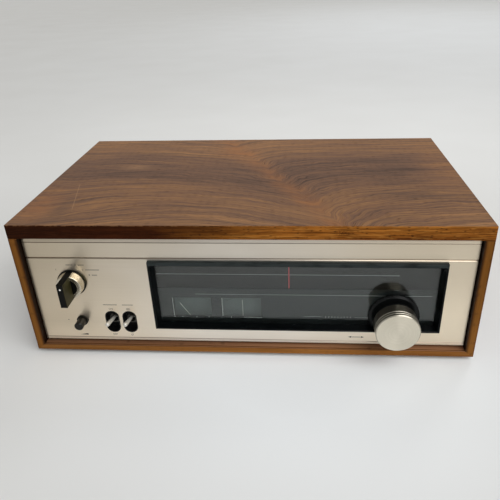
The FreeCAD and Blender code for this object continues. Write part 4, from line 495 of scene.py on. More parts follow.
def top_figure(f):
    """The slab's upper face: grey heart between golden bands, with fine lines and a warm streak that dip."""
    beside, lane = dipping_lane(f)
    along = (f.x, lane, f.z)
    low, high = GREY_ZONES[0][0], GREY_ZONES[-1][0]
    zones = [((place - low) / (high - low), (share, share, share, 1.0)) for place, share in GREY_ZONES]
    grey = f.parts(f.ramp(lane.between(low, high), zones))[0]
    grey = grey * f.x.between(*GREY_FADES, 1.0, 0.25)
    broad = f.noise(along, (110.0, 16.0, 60.0), detail=3.0)
    rings = f.noise(along, (130.0, 2.2, 40.0), detail=4.0, roughness=0.65)
    threads = f.noise(along, (45.0, 1.0, 20.0), detail=3.0, roughness=0.7)
    fibre = f.noise(along, (9.0, 0.6, 20.0), detail=2.0)
    flow = f.noise(along, (90.0, 5.0, 40.0), detail=2.0)
    tone = (broad - 0.5) * 0.50 + (rings - 0.5) * f.blend(grey, 1.25, 0.70)
    tone = tone + (threads - 0.5) * 0.90 + (fibre - 0.5) * 0.60 + (flow - 0.5) * 0.45
    tone = tone + f.blend(grey, 0.62, 0.31)
    colour = f.ramp(tone, TOP_TONES)
    arcs = f.noise(along, (200.0, 3.6, 60.0), detail=1.0).between(0.60, 0.68)
    colour = f.mix(arcs * f.blend(grey, 0.80, 0.25), colour, WALNUT_GREY)
    warm = f.noise(along, (30.0, 10.0, 30.0), detail=3.0).between(0.30, 0.62)
    colour = f.mix(beside.hump(*WARM_STREAK) * warm * 0.60, colour, WALNUT_ORANGE)
    for (x, y), (across, deep), tint, strength in TOP_PATCHES:
        patch = f.x.hump(x, across) * f.y.hump(y, deep) * strength
        patch = patch * f.noise(along, (26.0, 5.0, 30.0), detail=3.0).between(0.25, 0.60)
        colour = f.mix(patch, colour, tint)
    pores = f.flecks(along, (8.0, 1.0, 8.0), 0.30)
    colour = f.mix(pores * 0.50, colour, WALNUT_PORE)
    (start_x, start_y), (end_x, end_y) = SCRATCH
    off_line = f.x - ((f.y - start_y) * ((end_x - start_x) / (end_y - start_y)) + start_x)
    reach = f.y.between(end_y, end_y + SCRATCH_FADE)
    reach = reach * f.y.between(start_y - SCRATCH_FADE, start_y, 1.0, 0.0)
    colour = f.mix(off_line.hump(0.0, SCRATCH_WIDTH) * reach * 0.45, colour, WALNUT_PALE)
    return Grain(colour, tone, pores, rings, fibre)


def slab_edge(f):
    """The slab's edges, banded: nearly black at the left, golden from the middle, with specks and a knot."""
    along = (f.x, f.z, f.y)
    band = grain(f, *along, SLAB_TONES, 3.0)
    dark = f.ramp(band.tone, SLAB_DARK_TONES)
    dark = f.mix(1.0, dark, f.x.between(*EDGE_DARKEST, 0.70, 1.10), "MULTIPLY")
    shade = f.x + (f.noise(along, (60.0, 5.0, 9.0), detail=3.0) - 0.5) * 110.0
    edge = f.mix(shade.between(*EDGE_TURN), dark, band.colour)
    edge = f.mix(1.0, edge, f.x.between(*EDGE_BRIGHTENS, 1.0, 1.42), "MULTIPLY")
    streak = f.noise(along, (26.0, 1.3, 9.0), detail=3.0, roughness=0.6).between(0.44, 0.62)
    edge = f.mix(streak * 0.40, edge, rgb(30, 10, 2))
    thread = f.noise(along, (20.0, 0.8, 6.0), detail=2.0, roughness=0.6).between(0.50, 0.60)
    edge = f.mix(thread * 0.50, edge, rgb(44, 18, 4))
    glint = f.noise(along, (14.0, 0.8, 5.0), detail=2.0).between(0.54, 0.66)
    golden = shade.between(*EDGE_GOLDEN)
    edge = f.mix(glint * golden * 0.50, edge, rgb(186, 130, 62))
    edge = f.mix(glint * (golden * -0.14 + 0.14), edge, rgb(96, 56, 30))
    specks = f.flecks(along, (4.0, 1.3, 4.0), 0.24)
    edge = f.mix(specks * 0.75, edge, rgb(40, 18, 7))
    knot = f.x.hump(KNOT_PLACE[0], KNOT_REACH[0]) * f.z.hump(KNOT_PLACE[1], KNOT_REACH[1])
    knot = knot * f.noise(along, (1.8, 1.2, 2.0), detail=3.0).between(0.42, 0.60)
    edge = f.mix(knot * 0.8, edge, rgb(40, 18, 8))
    nicks = f.noise(along, (3.0, 1.5, 3.0), detail=3.0).between(0.48, 0.62)
    worn = f.z.between(*below(TOP[2][1], ARRIS_DEPTHS)) * nicks
    return f.mix(worn * 0.5, edge, rgb(150, 112, 76))


def walnut_top():
    """Veneered slab, figured on its upper face and banded round its edges."""
    f = Finish("walnut_top")
    face = top_figure(f)
    upward = f.facing[2].math("ABSOLUTE").between(0.55, 0.75)
    colour = f.mix(upward, slab_edge(f), face.colour)
    return oiled(f, colour, face, (0.36, 0.48), 0.04)


def walnut_side():
    """Side panels with upright grain, golden front edges between darker arrises, and insides painted
    near-black as shade.
    """
    f = Finish("walnut_side")
    outer, inner = LEFT_SIDE[0]
    wood = grain(f, f.z, f.y, f.x, SIDE_TONES, 16.0)
    front = grain(f, f.z, f.x, f.y, SIDE_FRONT_TONES, 4.0).colour
    depth = f.x.math("ABSOLUTE") * -1.0 - outer
    streaks = (f.noise((f.z, f.x, f.y), (22.0, 1.6, 4.0), detail=3.0) - 0.5) * 2.4
    toward_arris = (depth + streaks).between(*SIDE_ARRIS_DEPTHS, 1.0, 0.0) * 0.60
    toward_inside = (depth + streaks).between(*below(inner - outer, SIDE_INNER_DEPTHS)) * 0.85
    front = f.mix(toward_arris, front, rgb(58, 34, 12))
    front = f.mix(toward_inside, front, rgb(38, 18, 6))
    colour = f.mix(f.facing[1].math("ABSOLUTE").between(0.6, 0.8), wood.colour, front)
    # Painted shade: faces that look into the cabinet are near-black
    inside_shade = (f.facing[0] * f.x).between(-1.0, -8.0)
    colour = f.mix(inside_shade, colour, rgb(26, 13, 6))
    colour = f.mix(wood.pores * 0.35, colour, rgb(48, 28, 16))
    return oiled(f, colour, wood, (0.34, 0.46), 0.06)


def walnut_sill():
    """Bottom panel, grain across: golden front edge with a dark arris, paler on top, plainer underneath."""
    f = Finish("walnut_sill")
    wood = grain(f, f.x, f.z, f.y, SILL_FRONT_TONES, 3.0)
    board = grain(f, *f.place, SILL_UNDER_TONES, 12.0)
    upper = f.ramp(board.tone, SILL_UPPER_TONES)
    arris = f.z.between(*below(SILL[2][1], SILL_ARRIS_DEPTHS)) * 0.7
    front = f.mix(arris, wood.colour, rgb(62, 32, 14))
    plain = f.mix(f.facing[2].between(0.5, 0.8), board.colour, upper)
    colour = f.mix(f.facing[2].math("ABSOLUTE").between(0.6, 0.8), front, plain)
    # Painted light: darker to the left and brighter to the right
    colour = f.mix(1.0, colour, f.x.between(*SILL_PAINTED_LIGHT, 0.68, 1.18), "MULTIPLY")
    colour = f.mix(wood.pores * 0.35, colour, rgb(52, 32, 20))
    return oiled(f, colour, wood, (0.36, 0.48), 0.08)


def bare_wood():
    f = Finish("bare_wood")
    wood = grain(f, f.y, f.x, f.z, BATTEN_TONES, 8.0)
    return f.surface(wood.colour, f.blend(wood.tone, 0.65, 0.8), wood.rings * 0.02 + wood.fibre * 0.02)


# Metals, plastics and the rest

# The bezel's upper rail below its top, painted greyer as a highlight from above
RAIL_HIGHLIGHT_DEPTHS = (4.5, 3.0)

# Painted sheen of the fascia, a painted reflection of the pale floor: where it is palest, its reach on each
# axis, and its warm and cool casts
SHEEN_MIDDLE = (-20.0, FASCIA[2][0] + 34.0)
SHEEN_REACH = (120.0, 35.0)
SHEEN_WARM = (1.0, 0.95, 0.90, 1.0)
SHEEN_COOL = (1.0, 1.025, 1.14, 1.0)

# Painted light on the fascia, as limits: paler and creamier to the right, painted shade at its left end and
# a painted reflection brightening its foot. Its bevel's painted highlight is a middle and a reach
FASCIA_LIT_RIGHT = (20.0, 200.0)
FASCIA_LEFT_END = (-200.0, -120.0)
FASCIA_FOOT = (-180.0, 20.0)
FASCIA_FOOT_RISE = (2.0, 22.0)
BEVEL_SHINE = (60.0, 110.0)

# Grooves across the fascia, darkened with painted shade: height, width and tint
FASCIA_GROOVES = (
    (FASCIA[2][0] + 2.7, 0.4, rgb(138, 108, 96)),
    (FASCIA[2][1] - 20.2, 0.6, rgb(112, 88, 66)),
    (FASCIA[2][1] - 3.4, 0.4, rgb(84, 68, 52)),
)


def brushed_fascia():
    """Champagne anodised plate, brushed from side to side, so reflections smear upright, with painted light
    and shade.
    """
    f = Finish("brushed_fascia")
    lines = f.noise(f.place, (90.0, 5.0, 0.22), detail=3.0, roughness=0.7)
    cloud = f.noise(f.place, (120.0, 40.0, 60.0), detail=2.0)
    tone = lines * 0.35 + cloud * 0.65
    colour = f.ramp(tone, tones((0.3, 207, 196, 175), (0.5, 215, 205, 185), (0.7, 223, 214, 196)))
    # Painted light: paler and creamier towards the right end
    colour = f.mix(f.x.between(*FASCIA_LIT_RIGHT) * 0.55, colour, rgb(238, 230, 212))
    # Painted sheen and reflection: palest and coolest in the middle, brighter at the foot, painted shade at
    # the left end
    (x, z), (across, high) = SHEEN_MIDDLE, SHEEN_REACH
    wide = f.x.hump(x, across)
    colour = f.mix(1.0, colour, f.mix(wide, SHEEN_WARM, SHEEN_COOL), "MULTIPLY")
    low = f.z.between(*shifted(FASCIA_FOOT_RISE, FASCIA[2][0]), 0.24, 0.0)
    foot_light = low * f.x.between(*FASCIA_FOOT, 1.0, 0.15)
    pale = wide * 0.22 + 0.99 + f.x.between(*FASCIA_LEFT_END, -0.05, 0.0)
    pale = pale * (f.z.hump(z, high) * 0.17 + 0.97 + foot_light)
    colour = f.mix(1.0, colour, pale, "MULTIPLY")
    # Painted highlight along the top bevel
    bevel_highlight = f.mix(1.0, colour, f.x.hump(*BEVEL_SHINE) * 0.40 + 0.80, "MULTIPLY")
    colour = f.mix(f.facing[2].between(0.2, 0.5), colour, bevel_highlight)
    # Painted shade along each groove
    for place, width, tint in FASCIA_GROOVES:
        colour = f.mix(f.z.hump(place, width) * 0.8, colour, tint)
    return f.surface(colour, f.blend(lines, 0.30, 0.40), lines * 0.004, Metallic=1.0, Anisotropic=0.75,
                     Tangent=f.vector(0.0, 0.0, 1.0))


def turned_rings(f, axis):
    """Fine rings from 0 to 1 round an axis that runs from front to back."""
    return f.noise((f.away_from(*axis), f.y, f.y), (0.25, 0.3, 0.3), detail=2.0)


def turned_collar():
    """Bright turned collar of the selector."""
    f = Finish("collar_aluminium")
    rings = turned_rings(f, SELECTOR_AXIS)
    haze = f.noise(f.place, (5.0, 5.0, 5.0), detail=2.0)
    colour = f.shade(rings * 0.5 + haze * 0.5, (200, 191, 172), (224, 217, 199))
    return f.surface(colour, f.blend(rings, 0.20, 0.32), rings * 0.002, Metallic=1.0)


def spun_aluminium():
    """Turned metal with fine rings round the axis, bright on its face and painted darker on its side as a
    dark reflection.
    """
    f = Finish("spun_aluminium")
    rings = turned_rings(f, TUNING_AXIS)
    face = f.shade(rings, (219, 211, 193), (232, 225, 209), 0.3, 0.7)
    # Painted reflection: the side, and partly the chamfer, darker than the face
    side = f.shade(rings, (112, 106, 93), (140, 133, 119), 0.3, 0.7)
    toward_face = f.facing[1].math("ABSOLUTE").between(0.45, 0.95)
    colour = f.mix(toward_face, side, face)
    rough = f.blend(toward_face, 0.27, 0.42) + rings * 0.05
    tangent = f.output("Tangent", 0, direction_type="RADIAL", axis="Y")
    return f.surface(colour, rough, rings * 0.006, Metallic=1.0, Anisotropic=0.6, Anisotropic_Rotation=0.25,
                     Tangent=tangent)


def mottled(name, low, high, roughness, size, relief, detail=4.0, **sockets):
    """Surface with faint blotches in its tone, gloss and height."""
    f = Finish(name)
    spots = f.noise(f.place, size, detail=detail)
    colour = f.shade(spots, low, high)
    return f.surface(colour, f.blend(spots, *roughness), spots * relief, **sockets)


def plain_metal(name, low, high, roughness, size=(3.0, 3.0, 3.0)):
    return mottled(name, low, high, roughness, size, 0.004, Metallic=1.0)


def moulded(name, low, high, roughness, size=(1.2, 1.2, 1.2), relief=0.006, **sockets):
    """Plastic, rubber or paint with a fine surface texture."""
    f = Finish(name)
    grit = f.noise(f.place, size, detail=3.0)
    wide = f.noise(f.place, (25.0, 25.0, 25.0), detail=2.0)
    colour = f.shade(grit * 0.5 + wide * 0.5, low, high)
    return f.surface(colour, f.blend(wide, *roughness), grit * relief, **sockets)


def selector_black():
    """Black moulding with a white index dot; its flanks are a dull olive."""
    f = Finish("selector_black")
    patchiness = f.noise(f.place, (9.0, 9.0, 9.0), detail=3.0)
    flank = f.facing[0].math("ABSOLUTE").between(0.5, 0.8)
    dull = f.shade(patchiness, (41, 38, 20), (58, 54, 30), 0.3, 0.7)
    colour = f.mix(flank, rgb(9, 9, 7), dull)
    x, z = SELECTOR_AXIS
    away = f.away_from(x, z + DOT_RISE)
    dot = away.math("LESS_THAN", DOT_RADIUS) * f.facing[1].math("LESS_THAN", -0.5)
    colour = f.mix(dot, colour, rgb(226, 226, 220))
    return f.surface(colour, f.blend(patchiness, 0.32, 0.46), patchiness * 0.004, Specular_IOR_Level=0.10)


def gloss_bezel():
    """Black frame of the window, its upper rail painted a little greyer as a highlight from above."""
    f = Finish("bezel_gloss")
    haze = f.noise(f.place, (18.0, 6.0, 6.0), detail=3.0)
    black = f.shade(haze, (6, 8, 9), (10, 13, 14))
    # Painted highlight on the upper rail
    rail_highlight = f.z.between(*below(BEZEL[2][1], RAIL_HIGHLIGHT_DEPTHS)) * haze.between(0.2, 0.5)
    colour = f.mix(rail_highlight, black, rgb(46, 51, 51))
    return f.surface(colour, f.blend(haze, 0.14, 0.22), haze * 0.001, Specular_IOR_Level=0.07)


def clear_glass(name, tint, roughness):
    """Glass pane with the faintest waviness."""
    f = Finish(name)
    wave = f.noise(f.place, (60.0, 30.0, 60.0), detail=1.0)
    return f.surface(tint, roughness, wave * 0.004, Transmission_Weight=1.0, IOR=GLASS_INDEX)


def wound_fibre():
    """Twisted cord."""
    f = Finish("wound_fibre")
    twist = f.noise((f.x + f.z, f.y, f.x - f.z), (0.5, 0.4, 0.9), detail=2.0)
    colour = f.shade(twist, (150, 140, 118), (196, 188, 166), 0.3, 0.7)
    return f.surface(colour, 0.85, twist * 0.05)


def meter_face():
    """Grey-green meter scale, a little paler towards its foot."""
    f = Finish("meter_face")
    low, high = SCALES[2]
    haze = f.noise(f.place, (12.0, 4.0, 8.0), detail=2.0)
    tone = f.z.between(low, high, 0.75, 0.2) + haze * 0.2
    colour = f.shade(tone, (108, 117, 117), (131, 140, 140), 0.2, 0.9)
    return f.surface(colour, 0.6, haze * 0.01)


def pale_floor():
    """Pale floor with painted pools of light, a soft one before the object and a wide one far behind it."""
    f = Finish("floor_pale")
    soft = (f.noise(f.place, (240.0, 200.0, 60.0), detail=2.0) - 0.5) * 0.15
    (x, y), (across, deep) = FLOOR_LIGHT_POOL, FLOOR_LIGHT_POOL_REACH
    (far_x, far_y), (far_across, far_deep) = FLOOR_FAR_LIGHT_POOL, FLOOR_FAR_REACH
    # Painted light: the two pools brighten the floor
    spot = f.x.hump(x, across) * f.y.hump(y, deep) + soft + 0.08
    spot = spot + f.x.hump(far_x, far_across) * f.y.hump(far_y, far_deep) * FLOOR_FAR_SHARE
    colour = f.ramp(spot, tones((0.0, 202, 201, 197), (0.5, 227, 228, 227), (1.0, 246, 249, 250)))
    return f.surface(colour, 0.9, Specular_IOR_Level=0.1)


def dress_nodes(pane_glass):
    """Gives every node its finish."""
    plated = plain_metal("plated_steel", (150, 150, 146), (186, 186, 182), (0.28, 0.42))
    brass = plain_metal("brass", (176, 140, 72), (206, 170, 96), (0.25, 0.38))
    aluminium = plain_metal("mill_aluminium", (182, 182, 180), (206, 206, 204), (0.32, 0.45),
                            (8.0, 0.6, 0.6))
    satin = moulded("satin_chrome", (196, 193, 184), (220, 217, 208), (0.30, 0.42), Metallic=0.45)
    iron = plain_metal("turned_iron", (92, 88, 84), (126, 122, 116), (0.35, 0.5))
    nickel = plain_metal("nickel", (186, 180, 166), (210, 204, 190), (0.18, 0.3))
    zinc = plain_metal("zinc_steel", (146, 148, 146), (184, 186, 182), (0.35, 0.5), (14.0, 14.0, 14.0))
    black = moulded("matt_black", (10, 10, 10), (16, 16, 16), (0.6, 0.7))
    black_moulding = moulded("satin_black", (9, 9, 9), (15, 15, 15), (0.24, 0.34), Specular_IOR_Level=0.25)
    level = moulded("level_black", (14, 12, 7), (23, 20, 13), (0.26, 0.36), Specular_IOR_Level=0.25)
    escutcheon = moulded("escutcheon_black", (10, 11, 11), (15, 16, 16), (0.20, 0.30),
                         Specular_IOR_Level=0.16)
    mask = moulded("mask_black", (22, 28, 30), (30, 37, 39), (0.5, 0.6), (8.0, 8.0, 8.0))
    painted = moulded("rear_paint", (44, 44, 43), (56, 56, 54), (0.45, 0.6), (0.8, 0.8, 0.8), 0.02)
    needle = moulded("needle_white", (240, 241, 238), (250, 250, 248), (0.5, 0.6))
    rubber = moulded("foot_rubber", (20, 20, 20), (32, 31, 30), (0.7, 0.85))
    phenolic = moulded("phenolic", (70, 44, 26), (92, 60, 36), (0.45, 0.55))
    nylon = moulded("nylon", (196, 192, 178), (214, 210, 196), (0.4, 0.5))
    dial = mottled("dial_black", (10, 8, 7), (16, 14, 12), (0.5, 0.65), (40.0, 10.0, 9.0), 0.01, 3.0)
    board = mottled("circuit_board", (132, 88, 44), (156, 108, 58), (0.4, 0.55), (6.0, 6.0, 6.0), 0.01)
    core = mottled("laminated_iron", (62, 58, 54), (112, 106, 98), (0.45, 0.6), (40.0, 0.5, 40.0), 0.08, 1.0,
                   Metallic=1.0)
    finishes = {
        walnut_top(): ["cabinet_top"],
        walnut_side(): ["cabinet_left_side", "cabinet_right_side"],
        walnut_sill(): ["cabinet_bottom"],
        bare_wood(): ["cabinet_battens"],
        rubber: ["feet"],
        plated: ["fixing_screws", "fascia_pillars", "pointer_rail", "tuning_shaft", "selector_shaft",
                 "level_pot"],
        brushed_fascia(): ["fascia"],
        gloss_bezel(): ["window_bezel"],
        escutcheon: ["knob_escutcheon", "tuning_hub"],
        pane_glass: ["dial_glass"],
        mask: ["dial_mask"],
        dial: ["dial_backplate"],
        clear_glass("lamp_glass", rgb(236, 234, 228), 0.05): ["dial_lamps"],
        moulded("pointer_red", (248, 78, 84), (252, 92, 98), (0.4, 0.5)): ["pointer_needle"],
        nylon: ["pointer_carriage", "pulley_left", "pulley_right", "pulley_centre", "cord_drum"],
        wound_fibre(): ["dial_cord"],
        brass: ["drum_shaft", "shaft_bushes", "rotor_gear"],
        spun_aluminium(): ["tuning_cap"],
        iron: ["flywheel"],
        aluminium: ["gang_frame", "gang_stator", "gang_rotor", "board_parts", "aerial_bracket"],
        level: ["level_knob"],
        black_moulding: ["meter_cases", "toggle_recesses", "terminal_block", "fuse_holder", "cord_grommet"],
        meter_face(): ["meter_scales"],
        needle: ["signal_needle", "tuning_needle"],
        selector_black(): ["selector_handle"],
        turned_collar(): ["selector_collar"],
        phenolic: ["selector_switch"],
        black: ["toggle_bodies"],
        plain_metal("dark_nickel", (70, 68, 64), (92, 90, 84), (0.25, 0.4)): ["toggle_bushes"],
        nickel: ["signal_jacks"],
        satin: ["left_lever", "right_lever"],
        zinc: ["chassis", "front_subpanel"],
        painted: ["rear_panel"],
        board: ["main_board"],
        core: ["power_transformer"],
        moulded("aerial_tube", (24, 23, 22), (36, 34, 32), (0.4, 0.5)): ["aerial_rod"],
    }
    for material, names in finishes.items():
        for name in names:
            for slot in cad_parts[name].material_slots:
                slot.material = material
    bare = sorted(set(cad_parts).difference(*finishes.values()))
    if bare:
        raise RuntimeError("nodes without a finish: " + ", ".join(bare))


# Pieces made here

def new_object(name, data):
    """Puts an object that holds the data into the scene."""
    made = bpy.data.objects.new(name, data)
    bpy.context.scene.collection.objects.link(made)
    return made


def mesh_object(name, mesh, material):
    """Turns built mesh into an object of one material."""
    data = bpy.data.meshes.new(name)
    mesh.to_mesh(data)
    mesh.free()
    data.materials.append(material)
    return new_object(name, data)


def piece(name, mesh, material, body):
    """Turns built mesh into a named piece that rides on a body."""
    made = mesh_object(name, mesh, material)
    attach(made, body)
    return made


class Print:
    """Thin ink shapes on an upright face that looks forward; each is a closed prism."""

    def __init__(self, name, face_y, ink, body, slot):
        self.name = name
        self.front = face_y - INK_GAP - INK_THICKNESS
        self.back = face_y - INK_GAP
        self.ink = ink
        self.body = body
        self.slot = slot
        self.mesh = bmesh.new()

    def shape(self, outline):
        """Convex outline of (x, z) points."""
        rings = [[self.mesh.verts.new(Vector((x, y, z)) * MM) for x, z in outline]
                 for y in (self.front, self.back)]
        self.mesh.faces.new(rings[0])
        self.mesh.faces.new(list(reversed(rings[1])))
        for i in range(len(outline)):
            j = (i + 1) % len(outline)
            self.mesh.faces.new((rings[0][j], rings[0][i], rings[1][i], rings[1][j]))

    def bar(self, x, z):
        """Upright rectangle between two limits in x and z."""
        self.shape([(x[0], z[0]), (x[1], z[0]), (x[1], z[1]), (x[0], z[1])])

    def rule(self, x, z):
        """Level rule between two limits in x, with its middle at z."""
        self.bar(x, (z - RULE_WIDTH / 2, z + RULE_WIDTH / 2))

    def line(self, start, end, width):
        along = Vector((end[0] - start[0], end[1] - start[1])).normalized() * width / 2
        across = Vector((-along.y, along.x))
        start, end = Vector(start), Vector(end)
        self.shape([tuple(start - across), tuple(end - across), tuple(end + across), tuple(start + across)])

    def dot(self, centre, radius, sides=20):
        angles = [2 * math.pi * i / sides for i in range(sides)]
        self.shape([(centre[0] + radius * math.cos(a), centre[1] + radius * math.sin(a)) for a in angles])

    def arc(self, centre, radius, width, start, end, steps=24):
        """Part of a ring between two angles in degrees from +x towards +z."""
        def point(r, i):
            angle = math.radians(start + (end - start) * i / steps)
            return centre[0] + r * math.cos(angle), centre[1] + r * math.sin(angle)
        inner, outer = radius - width / 2, radius + width / 2
        for i in range(steps):
            self.shape([point(inner, i), point(outer, i), point(outer, i + 1), point(inner, i + 1)])

    def word(self, text, centre, height):
        """Plain figures, or ON and OFF, centred."""
        curve = bpy.data.curves.new(self.name + "_word", "FONT")
        curve.body = text
        curve.size = height * MM / CAPITAL_SHARE
        curve.align_x = "CENTER"
        curve.align_y = "CENTER"
        curve.extrude = INK_THICKNESS / 2 * MM
        curve.resolution_u = FIGURE_CURVE_STEPS
        holder = new_object(self.name + "_word", curve)
        bpy.context.view_layer.update()
        mesh = bpy.data.meshes.new_from_object(holder.evaluated_get(bpy.context.evaluated_depsgraph_get()))
        place = Matrix.Translation(Vector((centre[0], (self.front + self.back) / 2, centre[1])) * MM)
        mesh.transform(place @ Matrix.Rotation(math.radians(90), 4, "X"))
        self.mesh.from_mesh(mesh)
        bpy.data.meshes.remove(mesh)
        bpy.data.objects.remove(holder)
        bpy.data.curves.remove(curve)

    def finish(self):
        bmesh.ops.recalc_face_normals(self.mesh, faces=self.mesh.faces)
        piece(self.name, self.mesh, self.ink, self.body)


def make_pane(glass):
    """The window's pane with its shaft hole. Its back stays clear of the mask, so both faces reflect."""
    (left, right), (front, back), (foot, top) = GLASS
    hole_x, hole_z = TUNING_AXIS
    corners = [math.atan2(z - hole_z, x - hole_x) % (2 * math.pi)
               for x in (left, right) for z in (foot, top)]
    angles = sorted(corners + [2 * math.pi * i / PANE_STEPS for i in range(PANE_STEPS)])

    def edge_reach(angle):
        across, rise = math.cos(angle), math.sin(angle)
        reaches = [((right if across > 0 else left) - hole_x) / across if abs(across) > TINY else math.inf,
                   ((top if rise > 0 else foot) - hole_z) / rise if abs(rise) > TINY else math.inf]
        return min(reaches)

    mesh = bmesh.new()
    rings = []
    for y in (front, back - PANE_CLEARANCE):
        for reach in (lambda angle: PANE_HOLE_RADIUS, edge_reach):
            rings.append([mesh.verts.new(Vector((hole_x + reach(a) * math.cos(a), y,
                                                 hole_z + reach(a) * math.sin(a))) * MM) for a in angles])
    front_hole, front_edge, back_hole, back_edge = rings
    for near, far in ((front_hole, front_edge), (front_edge, back_edge), (back_edge, back_hole),
                      (back_hole, front_hole)):
        for i in range(len(angles)):
            j = (i + 1) % len(angles)
            mesh.faces.new((near[i], near[j], far[j], far[i]))
    bmesh.ops.recalc_face_normals(mesh, faces=mesh.faces)
    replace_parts(piece("glass_pane", mesh, glass, "cabinet"), "dial_glass")


def screw_head(mesh, x, y, z, turn):
    """Domed head with a crossed recess, seated on an upright face at y that looks backward."""
    rings = []
    for ring in range(SCREW_RINGS + 1):
        radius = SCREW_RADIUS * ring / SCREW_RINGS
        row = []
        for i in range(SCREW_SEGMENTS):
            angle = 2 * math.pi * i / SCREW_SEGMENTS
            u, v = radius * math.cos(angle), radius * math.sin(angle)
            fall = (1 - SCREW_RIM_SHARE ** 2) * (radius / SCREW_RADIUS) ** 2
            height = SCREW_HEIGHT * math.sqrt(1 - fall)
            if radius < CROSS_REACH and min(abs(u), abs(v)) < CROSS_HALF_WIDTH:
                height -= CROSS_DEPTH
            turned = angle + turn
            place = Vector((x + radius * math.cos(turned), y + height, z + radius * math.sin(turned)))
            row.append(mesh.verts.new(place * MM))
        rings.append(row)
    rings.append([mesh.verts.new(Vector((v.co.x, y * MM, v.co.z))) for v in rings[-1]])
    for near, far in zip(rings, rings[1:]):
        for i in range(SCREW_SEGMENTS):
            j = (i + 1) % SCREW_SEGMENTS
            mesh.faces.new((near[i], near[j], far[j], far[i]))
    mesh.faces.new(rings[-1])


def make_rear_screws():
    (left, right), (foot, top) = REAR[0], REAR[2]
    steel = plain_metal("screw_steel", (120, 118, 112), (168, 166, 158), (0.25, 0.4), (2.0, 2.0, 2.0))
    mesh = bmesh.new()
    across = (left + SCREW_INSET, (left + right) / 2, right - SCREW_INSET)
    places = [(x, z) for z in (foot + SCREW_INSET, top - SCREW_INSET) for x in across]
    for (x, z), turn in zip(places, SCREW_TURNS):
        screw_head(mesh, x, REAR[1][1], z, turn)
    bmesh.ops.remove_doubles(mesh, verts=mesh.verts, dist=TINY)
    bmesh.ops.recalc_face_normals(mesh, faces=mesh.faces)
    piece("rear_screws", mesh, steel, "cabinet")


def printed_ink(name, low, high):
    return moulded(name, low, high, (0.5, 0.6), (0.6, 0.6, 0.6), 0.002)


def fascia_marks(ink):
    """Figures and rules at the selector, ON and OFF at a switch, and rings, a wedge and arrows elsewhere."""
    marks = Print("fascia_marks", FASCIA[1][0], ink, "cabinet", "fascia_metal")
    x, z = SELECTOR_AXIS
    for text, right, up in SELECTOR_FIGURES:
        marks.word(text, (x + right, z + up), FIGURE_HEIGHT)
    for start, end, up in SELECTOR_RULES:
        marks.rule((x + start, x + end), z + up)
    x, z = LEVEL_AXIS
    marks.shape([(x + right, z + up) for right, up in LEVEL_WEDGE])
    marks.dot((x - LEVEL_DOT_LEFT, z), LEVEL_DOT_RADIUS)
    for x, half in zip(LEVER_XS, SWITCH_RULE_HALVES):
        marks.rule((x - half, x + half), TOGGLE_Z + SWITCH_RULE_RISE)
    left, right = LEVER_XS
    upper, lower = TOGGLE_Z + SWITCH_MARK_RISE, TOGGLE_Z - SWITCH_MARK_DROP
    marks.word("ON", (left, upper), SWITCH_HEIGHT)
    marks.word("OFF", (left, lower), SWITCH_HEIGHT)
    for x, z in ((right - RING_SPREAD, upper), (right + RING_SPREAD, upper), (right, lower)):
        marks.arc((x, z), RING_RADIUS, RING_WIDTH, 0, 360)
    x, z = TUNING_AXIS[0] - ARROWS_LEFT, TUNING_AXIS[1] - ARROWS_DROP
    marks.rule((x - ARROW_STEM, x + ARROW_STEM), z)
    for side in (-1, 1):
        tip, root = x + side * ARROW_TIP, x + side * ARROW_ROOT
        marks.shape([(tip, z), (root, z + ARROW_HALF_WIDTH), (root, z - ARROW_HALF_WIDTH)])
    marks.finish()


def dial_marks(pale, faint):
    """Scale line across the dial, and the figures of both bands, too faint to show from a step away."""
    face = BACKPLATE[1][1] - PLATE_THICKNESS
    left, right = BEZEL[0]
    level = BEZEL[2][0] + DIAL_LINE_RISE
    line = Print("dial_line", face, pale, "cabinet", "dial_scale")
    line.bar((left + DIAL_LINE_INSETS[0], right - DIAL_LINE_INSETS[1]),
             (level - DIAL_LINE_HALF, level + DIAL_LINE_HALF))
    line.finish()
    figures = Print("dial_figures", face, faint, "cabinet", "dial_scale")
    start, end = left + DIAL_INSETS[0], right - DIAL_INSETS[1]
    for band, spread, rise, height, tick in DIAL_BANDS:
        first, last = spread(band[0]), spread(band[-1])
        for value in band:
            x = start + (end - start) * (spread(value) - first) / (last - first)
            figures.word(str(value), (x, level + rise), height)
            figures.bar((x - TICK_HALF, x + TICK_HALF), shifted(tick, level))
    figures.finish()


def mask_marks(pale, white):
    """Pale lines and small marks on the mask, seen through the glass."""
    face = MASK[1][1] - PLATE_THICKNESS
    foot = BEZEL[2][0]
    knob_x = TUNING_AXIS[0]
    line = Print("mask_line", face, pale, "cabinet", "mask_black")
    line.line((METER_XS[0] + MASK_LINE_START[0], foot + MASK_LINE_START[1]),
              (BEZEL[0][1] - MASK_LINE_END_INSET, foot + MASK_LINE_END_RISE), MASK_LINE_WIDTH)
    for start, end in KNOB_LINES:
        line.line((knob_x + start[0], foot + start[1]), (knob_x + end[0], foot + end[1]), KNOB_LINE_WIDTH)
    line.finish()
    marks = Print("mask_marks", face, white, "cabinet", "mask_black")
    for centre, dots in zip(METER_XS, METER_DOTS):
        marks.bar(shifted(METER_EDGE[0], centre), shifted(METER_EDGE[1], foot))
        for x in dots:
            marks.dot((centre + x, foot + METER_DOT_RISE), METER_DOT_RADIUS)
    marks.bar(shifted(METER_FOOT_BAR[0], METER_XS[1]), shifted(METER_FOOT_BAR[1], foot))
    for i in range(ROW_COUNT):
        x = knob_x + ROW_START + ROW_STEP * i
        marks.bar((x - ROW_HALF, x + ROW_HALF), shifted(ROW_RISE, foot))
    marks.finish()


